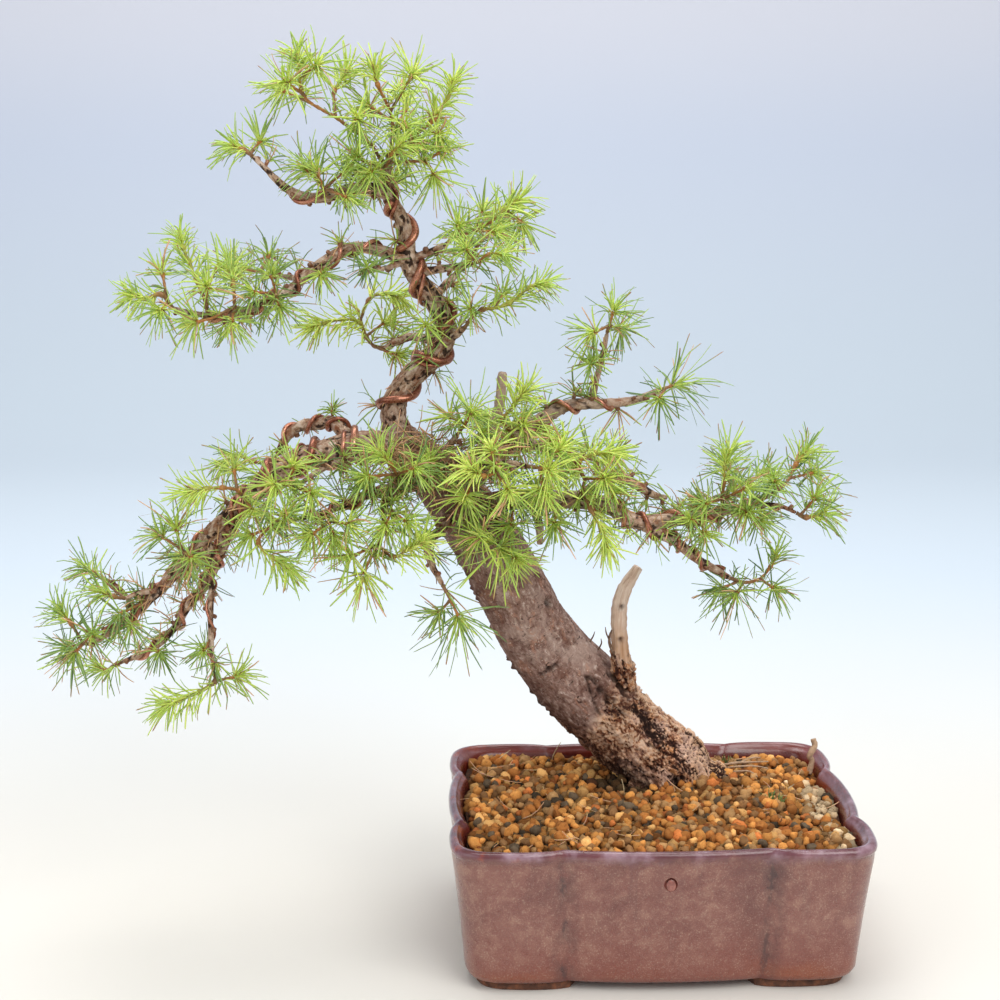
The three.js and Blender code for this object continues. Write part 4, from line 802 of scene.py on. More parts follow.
def dressBark(tree):
    mesh = tree.data
    count = len(mesh.vertices)
    corners = np.zeros(count * 3, np.float32)
    mesh.vertices.foreach_get("co", corners)
    normals = np.zeros(count * 3, np.float32)
    mesh.vertices.foreach_get("normal", normals)
    corners, normals = corners.reshape(-1, 3), normals.reshape(-1, 3)
    flat = (corners - potMiddle) / mm
    bones = skeleton()
    bone = bones[nearestBone(flat, bones)]
    offset = flat - bone[:, :3]
    across, over, forward = [np.einsum("ij,ij->i", offset, bone[:, first:first + 3])
                             for first in (7, 10, 4)]
    straight = np.stack([across + bone[:, 15] * 3, over, bone[:, 13] + forward], axis=1)
    old = smoothStep(bone[:, 3], 5.5, 14)
    # below the edge the trunk is flaky, and above the collar the jin is bare
    edge = 140 + 0.8 * (flat[:, 0] + 3) + 7 * np.sin(flat[:, 0] * 0.23) - flat[:, 2]
    sway = np.array([noise.noise(Vector(f) * 0.35) for f in flat])
    collar = flat[:, 2] - 147 + 0.7 * (flat[:, 0] + 13) - 9 * sway
    onJin = (bone[:, 14] > 0) & (collar < 0) & (flat[:, 2] < 165)
    worn = np.maximum(smoothStep(edge, -5, 14) * (bone[:, 3] > 8), onJin)
    jin = flat[:, 2] < 220
    bare = bone[:, 14] * np.where(jin, smoothStep(collar, -1, 2.5), flat[:, 2] > 262)
    pale = np.array([bark["pale"].get(name, 0) for name in wood])[bone[:, 15].astype(int)]
    bare = np.maximum(bare, pale * smoothStep(sway, -0.22, 0.12))
    # painted shade on the sides that face down and to the left, under the leaning trunk
    under = smoothStep(-0.75 * normals[:, 0] - 0.65 * normals[:, 2], 0.1, 0.95)
    under *= np.clip(0.75 + 0.9 * sway, 0, 1) * smoothStep(bone[:, 3], 4, 12)
    shapes = [barkRelief(straight[index] - (bone[index, 15] * 3, 0, 0), bone[index, 3], old[index],
                         worn[index]) for index in range(count)]
    relief, dent, tone = np.array(shapes).T
    grain = np.array([noise.noise(Vector((s[0] * 0.9, s[1] * 0.9, s[2] * 0.06))) for s in straight])
    relief = relief * (1 - bare) + (0.35 * grain + 0.5 * sway) * bare
    relief += 1.1 * np.exp(-((collar + 3) / 2.6) ** 2) * onJin
    hollow = np.zeros(count)

    def farFrom(place, radius):
        return np.linalg.norm(flat - place, axis=1) / radius

    def onBark(*place):
        return flat[nearestRow(flat, place)]

    # sunken knots, darkened inside with painted shade
    for x, y, z, radius, depth in bark["knots"]:
        away = farFrom(onBark(x, y, z), radius)
        relief += 0.8 * np.exp(-((away - 1.2) / 0.35) ** 2) - depth * np.exp(-(away / 0.7) ** 2)
        hollow = np.maximum(hollow, min(1, depth / 2) * np.exp(-(away / 0.8) ** 2))
    # dark patches, drawn darker in the low places of the bark, which is painted shade
    for x, y, z, radius, strength in bark["darkPatches"]:
        away = farFrom(onBark(x, y, z), radius)
        hollow = np.maximum(hollow, strength * np.exp(-away ** 2) * np.clip(1.5 - 1.4 * dent, 0.2, 1))
    # sunken cracks, darkened inside with painted shade
    for x, y, z, endX, endY, endZ, width in bark["cracks"]:
        first = onBark(x, y, z)
        reach = onBark(endX, endY, endZ) - first
        share = np.clip((flat - first) @ reach / (reach @ reach), 0, 1)[:, None]
        away = farFrom(first + share * reach, width) + 1.4 * sway
        relief += (0.5 * np.exp(-((away - 1.8) / 0.6) ** 2) - 1.3 * np.exp(-away ** 2)) * (1 - bare)
        hollow = np.maximum(hollow, 0.85 * np.exp(-away ** 2) * (1 - bare))
    # painted shade on the lower left of the trunk base, under its lean
    foot = smoothStep(108 - 0.7 * (flat[:, 0] + 25) - flat[:, 2] + 12 * sway, -6, 20) * (bone[:, 3] > 8)
    for x, y, z, radius in sideBumps():
        away = farFrom((x, y, z), radius)
        relief += 1.6 * np.exp(-away ** 2)
        hollow = np.maximum(hollow, 0.75 * np.exp(-away ** 2))
    thin = np.clip(bone[:, 3] / 2.2, 0.35, 1)
    moved = corners + normals * (relief * thin * mm)[:, None]
    mesh.vertices.foreach_set("co", moved.astype(np.float32).ravel())
    layer = mesh.attributes.new("straight", "FLOAT_VECTOR", "POINT")
    layer.data.foreach_set("vector", (straight * mm).astype(np.float32).ravel())
    markPoints(mesh, old=old, worn=worn, bare=bare, hollow=hollow, under=under, foot=foot, tone=tone,
               relief=np.clip(dent, 0, 1))
    mesh.update()
    smoothFaces(tree)


def barkMaterial():
    newMaterial("larchBark", {"Roughness": 0.85, "Specular IOR Level": 0.25})
    straight = attributeOf("straight", "Vector")
    stretched, grained, ringed = [addNode("Mapping", {"Vector": straight, "Scale": scale}).outputs[0]
                                  for scale in ((1, 1, 0.55), (1, 1, 0.07), (0.22, 0.22, 1))]
    place = objectPlace()
    old, worn, bare, under, foot = [attributeOf(name) for name in ("old", "worn", "bare", "under", "foot")]
    relief, tone = attributeOf("relief"), attributeOf("tone")
    split = addNode("SeparateXYZ", {0: place}).outputs
    broad = noiseOf(place, 34, 4, 0.6, 0.4)
    cloud = noiseOf(place, 66, 5, 0.62)
    fleck = noiseOf(stretched, 420, 6, 0.72, 0.5)
    patch = noiseOf(stretched, 150, 5, 0.7, 0.8)
    branch = ramp(fleck, (0.3, 84, 56, 42), (0.44, 148, 114, 90), (0.57, 196, 168, 146),
                  (0.72, 230, 212, 196))
    branch = tinted(branch, (134, 78, 48), patch, 0.48, 0.64, 0.75)
    branch = tinted(branch, (226, 206, 190), cloud, 0.55, 0.68, 0.55)
    trunk = ramp(fleck, (0.32, 92, 62, 53), (0.45, 134, 102, 91), (0.57, 162, 132, 120),
                 (0.7, 218, 199, 189))
    trunk = tinted(trunk, (194, 169, 157), broad, 0.47, 0.6, 0.5)
    trunk = tinted(trunk, (108, 70, 58), cloud, 0.5, 0.62, 0.72)
    trunk = tinted(trunk, (182, 132, 108), patch, 0.54, 0.64, 0.6)
    lines = noiseOf(ringed, 380, 3, 0.55, 0.4)
    away = offBy(lines, 0.5)
    lines = times(spread(away, 0.02, 0.004, 0, 0.8), spread(cloud, 0.42, 0.56, 0.1, 1))
    trunk = mixed(lines, trunk, paint(78, 52, 46))
    cells = addNode("TexVoronoi", {"Vector": straight, "Scale": 560}).outputs["Distance"]
    dots = spread(cells, 0.26, 0.12, 0, 0.75)
    dots = times(dots, spread(patch, 0.5, 0.62))
    trunk = mixed(dots, trunk, paint(222, 206, 194))
    base = ramp(fleck, (0.36, 26, 12, 8), (0.44, 88, 44, 28), (0.5, 164, 104, 66), (0.56, 224, 174, 136),
                (0.66, 252, 228, 206))
    flakes = ramp(tone, (0.08, 104, 58, 42), (0.35, 182, 124, 88), (0.62, 238, 202, 174),
                  (0.95, 214, 144, 84))
    base = mixed(0.38, base, flakes)
    base = tinted(base, (72, 34, 24), patch, 0.52, 0.6, 0.8)
    base = tinted(base, (236, 200, 182), broad, 0.5, 0.6, 0.5)
    beige = spread(split[0], potMiddle[0] + 0.016, potMiddle[0] + 0.036, 0, 0.5)
    base = mixed(times(beige, spread(fleck, 0.4, 0.55)), base, paint(226, 186, 142))
    # painted highlight on the raised bark and painted shade in its low places
    base = tinted(base, (244, 200, 160), relief, 0.62, 0.86, 0.5)
    base = tinted(base, (62, 27, 15), relief, 0.52, 0.36, 0.85)
    color = mixed(old, branch, trunk)
    color = mixed(worn, color, base)
    # painted shade in the deepest crevices and painted highlight on the highest bark
    color = tinted(color, (36, 18, 13), relief, 0.45, 0.2, 0.92)
    color = tinted(color, (226, 208, 194), relief, 0.72, 1.0, 0.35)
    # painted shade on the undersides
    color = mixed(times(under, 0.62), color, paint(92, 62, 52))
    # painted shade darkens the lower left of the trunk base, with lighter flecks left
    footShade = times(foot, spread(fleck, 0.62, 0.46, 0.3, 0.96))
    color = mixed(footShade, color, (0.3, 0.19, 0.13, 1), "MULTIPLY")
    streak = noiseOf(grained, 620, 4, 0.6, 0.5)
    silver = ramp(streak, (0.3, 172, 134, 112), (0.46, 220, 192, 172), (0.62, 236, 216, 200),
                  (0.75, 244, 232, 220))
    silver = tinted(silver, (206, 168, 144), cloud, 0.5, 0.66, 0.45)
    silver = tinted(silver, (192, 140, 94), split[2], 0.18, 0.15, 0.6)
    silver = tinted(silver, (164, 138, 122), split[2], 0.265, 0.29, 0.7)
    color = mixed(bare, color, silver)
    # painted shade in knots and cracks, with dark patches and bumps
    hollow = times(attributeOf("hollow"), 0.92)
    color = mixed(hollow, color, paint(38, 21, 14))
    bump = times(patch, 0.8, fleck)
    bump = times(streak, 0.3, bump)
    return toSurface(color, None, bump, 0.9, 0.0011)


tree = makeTree()
dressBark(tree)
addModifier(tree, "DECIMATE", ratio=bark["kept"])
finishPiece(tree, barkMaterial(), "bark", "tree")
print("tree made", len(tree.data.polygons), "faces")


# Wires: branch, first and last place along it, turns, radius, first angle

wires = {
    "wire_trunk": ["trunk", 13.2, 24.3, 5.6, 2.0, 0.4],
    "wire_trunk_thin": ["trunk", 15.6, 24.9, 4.7, 1.1, 2.2],
    "wire_left_main": ["leftMain", 2.4, 8.2, -4.2, 2.0, 1.2],
    "wire_left_main_thin": ["leftMain", 2.6, 11.4, -6.6, 1.1, 2.3],
    "wire_arch": ["arch", 0.9, 5.8, -3, 1.2, 0.5],
    "wire_left": ["left", 1.0, 8.2, -5, 1.15, 0.2],
    "wire_top_left": ["topLeft", 0.6, 4.6, -2.2, 1.2, 1.5],
    "wire_right": ["right", 3.4, 10.4, 5, 1.3, 0.8],
    "wire_right_low": ["rightLow", 0.4, 4.6, 3, 1.1, 1.9],
    "wire_up_right": ["upRight", 2.2, 5.4, 2.6, 1.2, 0.3],
    "wire_left_cascade": ["leftCascade", 0.5, 6.6, -4.4, 1.1, 2.2],
    "wire_hanging": ["hanging", 0.4, 2.9, -3, 0.7, 0.9],
    "wire_low_twig": ["lowTwig", 0.9, 4.4, -3, 1.1, 1.1],
    "wire_centre": ["centre", 0.8, 3.4, 2.4, 1.1, 2.0],
}


def wireLine(branch, first, last, turns, radius, angle):
    knots = np.array(wood[branch], float)
    fine = throughPoints(wood[branch], 1.5)
    _, side, up = framesOf(fine)
    marks = [nearestRow(fine, knot) for knot in knots]
    count = int(abs(turns) * 24)
    places = np.interp(np.linspace(first, last, count), np.arange(len(knots)), marks)
    rows = []
    for step, place in enumerate(places):
        index = min(int(place), len(fine) - 2)
        share = place - index
        centre = fine[index] * (1 - share) + fine[index + 1] * share
        turn = angle + 2 * math.pi * turns * step / count + 0.45 * math.sin(step * 0.13 + angle)
        reach = centre[3] + radius * 0.8 + 0.1 * math.sin(step * 0.37)
        rows.append([*(centre[:3] + turned(side[index], up[index], turn) * reach), radius])
    return np.array(rows)


def wireMaterial():
    newMaterial("copperWire", {"Metallic": 0.7, "Roughness": 0.34})
    place = objectPlace()
    tone = noiseOf(place, 90, 4, 0.6)
    fine = noiseOf(place, 900, 3, 0.6)
    color = ramp(tone, (0.3, 112, 64, 50), (0.5, 166, 106, 84), (0.7, 214, 156, 130))
    color = tinted(color, (66, 36, 30), fine, 0.6, 0.74, 0.4)
    gloss = spread(fine, 0.3, 0.7, 0.2, 0.4)
    return toSurface(color, gloss, fine, 0.15, 0.0002)


copper = wireMaterial()
cadWires = {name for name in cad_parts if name.startswith("wire_")}
for name, row in wires.items():
    coil = makeTube(name + "_coil", wireLine(*row), row[4], 3, 2, False)
    smoothFaces(coil)
    finishPiece(coil, copper, "wire", *([name] if name in cadWires else []))
print("wires made")


# Sprays: the branch they grow on, how bright they are, and their shoots. [x, y, z] is a bend and
# [x, y, z, length] carries needles of that length. A number stands for that bend of the first shoot.

sprays = {
    "crown_left": ["trunk", 0.62, [
        [[-140, 5, 414], [-148, 0, 426], [-156, -5, 432], [-164, -9, 438], [-176, -14, 445],
         [-180, -16, 451, 18], [-181, -14, 462, 16], [-182, -12, 469, 14]],
        [[-178, -15, 448], [-186, -24, 454, 20]], [[-180, -15, 457], [-173, -22, 462, 18]],
        [3, [-165, 2, 451, 17], [-159, 8, 461, 15]], [2, [-153, -18, 437, 20]],
        [4, [-190, -3, 451, 17]]]],
    "crown_mid": ["trunk", 0.66, [
        [[-137, 4, 421], [-136, 3, 431], [-137, 1, 441], [-143, -3, 454, 18], [-145, -4, 463, 15]],
        [2, [-126, -7, 458, 19]], [1, [-134, 18, 436], [-130, 34, 443, 18], [-132, 42, 452, 17]],
        [1, [-131, -12, 433, 17]], [[-137, 2, 437], [-148, 10, 444, 17]]]],
    "crown_right": ["trunk", 0.62, [
        [[-137, 5, 417], [-128, 3, 426], [-121, 1, 432], [-115, 0, 437, 18], [-108, 0, 448, 18],
         [-105, 0, 456, 15]], [2, [-113, -10, 430, 16]], [2, [-115, 16, 440, 17]],
        [[-128, 3, 427], [-124, -12, 424, 17]]]],
    "crown_front": ["trunk", 0.6, [
        [[-140, 6, 408], [-140, -4, 412], [-138, -10, 416], [-136, -18, 420, 18], [-131, -23, 425, 17]],
        [2, [-120, -12, 416], [-115, -17, 410, 21]], [1, [-146, -16, 411, 19]],
        [1, [-153, -13, 418, 19]],
        [[-140, 4, 409], [-145, 22, 404], [-148, 34, 401, 18], [-153, 44, 408, 18]],
        [[-145, 22, 404], [-137, 34, 408, 17]], [[-120, -12, 416], [-112, -12, 421, 16]]]],
    "b1_end": ["topLeft", 0.5, [
        [[-205, -15, 419], [-209, -17, 422, 18], [-215, -18, 424, 17]],
        [[-206, -16, 420], [-202, -7, 426, 16]]]],
    "b1_mid": ["topLeft", 0.52, [
        [[-169, -5, 399], [-170, -14, 403], [-173, -16, 411, 21]], [1, [-179, -10, 413, 17]],
        [1, [-160, -13, 411, 19]], [1, [-158, -22, 399, 15]]]],
    "r1": ["right1", 0.6, [
        [[-110, 14, 374], [-103, 12, 379], [-95, 15, 381], [-86, 19, 386, 17], [-79, 22, 392, 19],
         [-71, 25, 397, 18]], [1, [-103, 2, 384, 19]], [2, [-90, 31, 390, 18]], [2, [-85, 8, 381, 17]],
        [4, [-70, 30, 385, 17]]]],
    "r2": ["right2", 0.5, [
        [[-99, -3, 365], [-94, -8, 366], [-88, -13, 370, 18], [-80, -16, 371, 17]],
        [1, [-99, -14, 373, 16]]]],
    "r3": ["right3", 0.46, [
        [[-100, 3, 332], [-96, -2, 338], [-91, -6, 342, 15], [-85, -9, 343], [-77, -12, 346, 19],
         [-67, -15, 354, 19], [-59, -16, 356, 14]], [1, [-97, -11, 343, 14]], [3, [-80, 0, 349, 17]]]],
    "back_mid": ["backMid", 0.74, [
        [[-143, 60, 316], [-149, 62, 316], [-154, 60, 322, 18], [-157, 56, 330, 17], [-166, 52, 332, 19],
         [-176, 50, 330, 18], [-183, 48, 328, 16]],
        [3, [-152, 60, 342, 19], [-144, 62, 345, 18], [-134, 58, 343, 17]], [2, [-144, 66, 329, 18]],
        [1, [-137, 55, 312, 16]]]],
    "left_tip": ["left", 0.53, [
        [[-245, -29, 345], [-250, -31, 352, 18], [-258, -32, 350, 16], [-265, -34, 352, 14]],
        [[-247, -30, 348], [-249, -39, 345, 17]], [[-247, -30, 348], [-250, -25, 362, 16]]]],
    "left_shoot": ["left", 0.56, [
        [[-228, -25, 341], [-228, -32, 348], [-231, -26, 353], [-234, -20, 358, 18],
         [-238, -16, 367, 17], [-241, -14, 374, 15], [-243, -12, 380, 14]], [1, [-226, -39, 356, 21]],
        [2, [-224, -11, 364, 18]]]],
    "left_pad": ["left", 0.57, [
        [[-214, -22, 342], [-214, -30, 346], [-214, -33, 356, 19], [-216, -24, 366, 19]],
        [1, [-215, -36, 339, 17]], [1, [-224, -36, 341], [-232, -39, 339, 19]]]],
    "left_in": ["left", 0.42, [
        [[-195, -17, 349], [-194, -26, 352], [-196, -27, 361, 19]], [1, [-192, -32, 346, 18]],
        [1, [-204, -33, 353, 17]]]],
    "left_back": ["leftUpBack", 0.38, [
        [[-202, 22, 358], [-208, 31, 359], [-214, 36, 360, 18], [-222, 43, 362, 17]],
        [1, [-204, 41, 367, 17]]]],
    "arch_end": ["arch", 0.42, [
        [[-201, 31, 261], [-207, 33, 257], [-215, 34, 257, 18], [-224, 36, 260, 18], [-233, 38, 255, 17]],
        [1, [-213, 43, 248, 18]]]],
    "left_fan": ["leftMain", 0.6, [
        [[-211, -15, 246], [-213, -28, 249], [-215, -34, 254], [-222, -38, 256, 20],
         [-230, -40, 256, 19], [-238, -40, 254, 17]], [1, [-207, -39, 245, 18]],
        [2, [-217, -29, 264, 18]]]],
    "left_low": ["lowTwig", 0.55, [
        [[-184, -34, 239], [-192, -38, 239], [-199, -42, 236], [-204, -44, 229, 18],
         [-197, -47, 222, 19], [-189, -49, 217, 18]], [1, [-190, -48, 244, 18]],
        [2, [-208, -40, 232, 17]]]],
    "arch_twig": ["archTwig", 0.6, [
        [[-182, -33, 258], [-188, -38, 257], [-194, -50, 260, 21]], [1, [-186, -43, 267, 17]],
        [1, [-177, -47, 255, 18]]]],
    "left_main_back": ["leftBack", 0.34, [
        [[-209, 54, 232], [-213, 59, 227], [-219, 64, 222, 18], [-227, 71, 224, 17]],
        [1, [-206, 67, 217, 18]]]],
    "cascade_top": ["leftMain", 0.44, [
        [[-242, -23, 217], [-244, -32, 223], [-246, -35, 234, 21]], [1, [-254, -32, 230, 17]],
        [1, [-238, -42, 221, 16]]]],
    "cascade_end": ["leftMain", 0.34, [
        [[-292, -34, 174], [-295, -36, 175], [-299, -38, 171, 19]],
        [1, [-302, -32, 185, 18], [-308, -30, 191, 17]], [1, [-289, -44, 182, 18]],
        [1, [-305, -28, 171, 17]], [[-271, -30, 188], [-270, -38, 186, 16]],
        [[-262, -27, 196], [-275, -42, 192, 15]]]],
    "cascade_twig": ["cascadeTwig", 0.37, [
        [[-273, -37, 199], [-278, -41, 201, 18], [-285, -44, 205, 17]],
        [0, [-290, -22, 208, 17], [-297, -17, 211, 16]]]],
    "low_cascade_end": ["leftCascade", 0.37, [
        [[-291, 18, 148], [-295, 17, 145, 20], [-301, 20, 147, 17]],
        [[-270, 13, 158], [-264, 4, 159, 16]]]],
    "hanging_end": ["hanging", 0.6, [
        [[-231, -26, 156], [-230, -27, 152, 19], [-238, -29, 147, 20], [-248, -30, 143, 19],
         [-257, -30, 139, 17]], [1, [-220, -22, 153, 18]]]],
    "cascade_back": ["leftCascade", 0.26, [
        [[-232, -3, 208], [-238, 12, 210], [-248, 24, 209, 18], [-258, 34, 204, 17]],
        [1, [-234, 26, 212, 18]], [2, [-254, 30, 197, 16]]]],
    "front_left_low": ["frontLeftLow", 0.72, [
        [[-142, -23, 236], [-145, -27, 224], [-149, -30, 217], [-152, -34, 210, 22]],
        [1, [-137, -38, 220, 19], [-129, -43, 225, 18], [-121, -46, 230, 17]],
        [1, [-158, -36, 220, 18]]]],
    "front_left_end": ["frontLeft", 0.56, [
        [[-138, -25, 247], [-138, -32, 243], [-140, -39, 237, 20]], [1, [-130, -41, 239, 18]]]],
    "front_left_up": ["frontLeft", 0.5, [
        [[-134, -14, 255], [-135, -24, 260], [-138, -30, 266, 19], [-145, -32, 274, 18]],
        [1, [-126, -37, 265, 19]], [1, [-149, -36, 261, 18]]]],
    "low_mid": ["lowTwig", 0.62, [
        [[-170, -27, 242], [-169, -35, 238], [-167, -39, 232, 21]], [1, [-159, -43, 238, 18]],
        [1, [-177, -43, 233, 17]]]],
    "front_hang": ["frontLow", 0.36, [
        [[-112, -25, 202], [-108, -28, 195], [-104, -31, 187, 28]], [1, [-114, -25, 187, 17]]]],
    "centre_up": ["centreUp", 0.56, [
        [[-104, -15, 279], [-100, -20, 285], [-97, -25, 291, 22]], [1, [-108, -13, 288, 17]]]],
    "centre_shoot": ["upRight", 0.66, [
        [[-74, 2, 273], [-77, -12, 280], [-81, -18, 287, 18], [-75, -20, 295, 18], [-69, -22, 303, 17]],
        [1, [-71, -25, 285, 18]]]],
    "centre_end": ["centre", 0.72, [
        [[-69, -37, 266], [-63, -42, 266], [-59, -51, 266, 22]], [1, [-54, -44, 275, 18]],
        [1, [-62, -50, 257, 17]]]],
    "centre_left": ["centre", 0.72, [
        [[-86, -29, 267], [-85, -40, 264], [-91, -47, 263, 19], [-99, -52, 268, 17]],
        [1, [-87, -45, 275, 19]], [1, [-79, -52, 257, 18]]]],
    "centre_right": ["right", 0.68, [
        [[-43, -19, 245], [-41, -30, 252], [-40, -34, 259], [-43, -38, 268, 19], [-34, -40, 273, 19],
         [-26, -40, 273, 17]], [1, [-37, -38, 244, 19], [-32, -42, 235, 19], [-29, -44, 226, 17]],
        [2, [-31, -45, 261, 18]], [2, [-50, -36, 277, 18]]]],
    "centre_low": ["centreLow", 0.7, [
        [[-83, -21, 224], [-83, -27, 222, 28]], [[-83, -24, 223], [-92, -33, 229, 18]],
        [[-83, -24, 223], [-75, -31, 217, 17]]]],
    "up_end": ["upTwig", 0.44, [
        [[-27, -7, 330], [-26, -8, 334], [-24, -8, 341, 19]], [1, [-34, -14, 331, 19]],
        [1, [-19, 1, 331, 18]], [[-30, -6, 315], [-35, -12, 315, 15]]]],
    "up_tip": ["upRight", 0.3, [
        [[2, 5, 299], [9, 6, 301, 29]], [[5, 5, 300], [1, -5, 296, 19]]]],
    "right_up": ["right", 0.48, [
        [[35, -10, 237], [33, -17, 245], [33, -20, 254, 19], [33, -22, 263, 19], [35, -22, 272, 17]],
        [1, [23, -25, 244, 15]], [1, [43, -26, 252, 18]]]],
    "right_end": ["right", 0.46, [
        [[60, -5, 245], [64, -7, 248], [70, -3, 253], [74, 0, 260, 19], [80, 2, 267, 18]],
        [1, [60, -15, 254, 20]], [2, [84, 7, 254, 19]], [[62, -6, 246], [45, -20, 240, 17]]]],
    "right_tip": ["rightTip", 0.38, [
        [[72, -15, 237], [77, -17, 235, 26], [86, -20, 238, 20]],
        [[74, -16, 236], [80, -22, 246, 20]]]],
    "right_low": ["rightLow", 0.34, [
        [[39, -9, 201], [47, -7, 198], [56, -3, 199], [62, -1, 205, 18], [65, -2, 212, 16]],
        [1, [42, -16, 195, 24]], [2, [62, -11, 196, 17]], [[45, -7, 199], [35, -11, 196, 17]]]],
    "right_back": ["rightBack", 0.34, [
        [[38, 20, 240], [46, 28, 242], [58, 38, 245, 19], [67, 44, 248, 18]], [1, [43, 35, 252, 18]],
        [1, [48, 45, 243, 17]]]],
    "back_centre": ["backCentre", 0.38, [
        [[-56, 92, 253], [-52, 96, 251], [-46, 101, 247, 19], [-38, 107, 243, 18]],
        [1, [-55, 105, 259, 18]], [1, [-47, 91, 241, 17]]]],
    "back_inner": ["backCentre", 0.4, [
        [[-73, 74, 259], [-76, 80, 268], [-81, 89, 274, 19], [-89, 96, 271, 18]],
        [1, [-67, 92, 271, 18]], [[-74, 78, 262], [-76, 96, 253, 17]]]],
    "back_left": ["backLeft", 0.42, [
        [[-151, 81, 257], [-155, 86, 256], [-163, 90, 255, 19], [-171, 94, 250, 18]],
        [1, [-150, 98, 254, 18]]]],
    "back_upper": ["backUpper", 0.5, [
        [[-98, 40, 364], [-93, 48, 371], [-87, 56, 377, 19], [-80, 62, 382, 18]],
        [1, [-99, 60, 377, 18]]]],
    "back_right": ["backRight", 0.4, [
        [[-31, 52, 255], [-27, 56, 253], [-21, 60, 252, 19], [-14, 66, 256, 18]],
        [1, [-30, 67, 257, 18]], [1, [-22, 62, 242, 17]]]],
}

needle = {
    "rows": [0, 0.1, 0.38, 0.68, 0.96, 1], "widths": [0.6, 1, 1.04, 0.95, 0.74, 0],
    "width": 1.14, "thick": 0.64, "star": 36, "brush": 28, "perStep": 2.0, "inner": 8.0,
    "dryShare": 0.055, "reach": 1.04,
}


def modelNeedle():  # one needle of unit length along +Z, three sides
    deselect()
    bpy.ops.mesh.primitive_cone_add(vertices=3, radius1=0.5, radius2=0, depth=1, location=(0, 0, 0.5),
                                    end_fill_type="NGON")
    model = bpy.context.object
    bpy.ops.object.transform_apply(location=True)
    startEdit()
    for height in needle["rows"][1:-1]:
        bpy.ops.mesh.select_all(action="SELECT")
        bpy.ops.mesh.bisect(plane_co=(0, 0, height), plane_no=(0, 0, 1))
    bpy.ops.object.mode_set(mode="OBJECT")
    for vertex in model.data.vertices:
        taper = max(1 - vertex.co.z, 0.001)
        share = np.interp(vertex.co.z, needle["rows"], needle["widths"]) / taper
        vertex.co.x *= share * needle["width"]
        vertex.co.y *= share * needle["thick"]
    corners, faces = meshArrays(model)
    bpy.data.objects.remove(model)
    return corners, faces


needleCorners, needleFaces = modelNeedle()
needleLow = (boxLow - potMiddle) / mm + 0.6
needleHigh = (boxHigh - potMiddle) / mm - 0.6
greens = {"dry": tintOf(208, 162, 122), "tip": tintOf(172, 120, 92)}
greenRows = np.array([tintOf(86, 116, 68), tintOf(130, 160, 90), tintOf(178, 205, 102),
                      tintOf(210, 230, 108), tintOf(235, 245, 134)])  # from deep to lime
goldenTurn = 2.39996


class Leafage:  # gathers needles and twigs until they become one piece
    def __init__(self):
        self.corners, self.faces, self.colors = [], [], []
        self.count = 0

    def add(self, corners, faces, colors):
        self.corners.append(corners)
        self.faces.append(faces + self.count)
        self.colors.append(colors)
        self.count += len(corners)

    def piece(self, name):
        return pieceFrom(name, spots(np.vstack(self.corners)), np.vstack(self.faces),
                         np.vstack(self.colors))


def greenAt(tone):
    place = np.clip(np.asarray(tone, float), 0, 1) * 4
    low = np.minimum(place.astype(int), 3)
    share = (place - low)[:, None]
    return greenRows[low] * (1 - share) + greenRows[low + 1] * share


def needleColor(tone, along, dry, tipDry):
    if dry:
        return greens["dry"] * (0.7 + 0.5 * along[:, None])
    colors = greenAt(tone + 0.34 * (1 - smoothStep(along, 0.0, 0.5)) - 0.1 * along)
    if tipDry > 0:
        ends = smoothStep(along, 1 - tipDry, 1.0)[:, None]
        colors = colors * (1 - ends) + greens["tip"] * ends
    return colors


def growNeedle(leafage, root, direction, outward, length, tone, dryShare, sag=1.0):
    direction = unit(direction)
    bend = outward * draws.uniform(-0.12, 0.6) + draws.normal(0, 0.17, 3)
    bend = bend - np.array([0, 0, draws.uniform(-0.1, 0.56) * sag])
    length /= max(np.linalg.norm(direction + bend), 0.85) ** 0.85
    tip = root + (direction + bend) * length
    over = np.maximum(np.maximum(needleLow - tip, tip - needleHigh), 0)
    reach = np.abs((direction + bend) * length)
    keep = 1 - (over / np.maximum(reach, 0.1)).max()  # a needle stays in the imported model's box
    length *= keep
    if length < 4:
        return
    side = unit(np.cross(direction, outward) + 1e-6)
    up = np.cross(side, direction)
    roll = draws.uniform(0, math.pi)
    wide = turned(side, up, roll)
    flat = np.cross(direction, wide)
    size = draws.uniform(0.8, 1.15) * (0.68 + 0.4 * tone)
    along = needleCorners[:, 2]
    places = (root + direction * (along * length)[:, None] + wide * needleCorners[:, :1] * size
              + flat * needleCorners[:, 1:2] * size + bend * (along ** 2 * length)[:, None])
    dry = draws.random() < dryShare
    tipDry = draws.uniform(0.08, 0.4) if draws.random() < 0.5 * (0.95 - tone) else 0
    colors = needleColor(tone + draws.normal(0, 0.12), along, dry, tipDry)
    leafage.add(places, needleFaces, colors)


def sidesOf(axis):
    helper = np.array([0.2, 0.5, 0.84]) if abs(axis[2]) < 0.8 else np.array([1.0, 0.1, 0])
    side = unit(np.cross(axis, helper))
    return side, np.cross(axis, side)


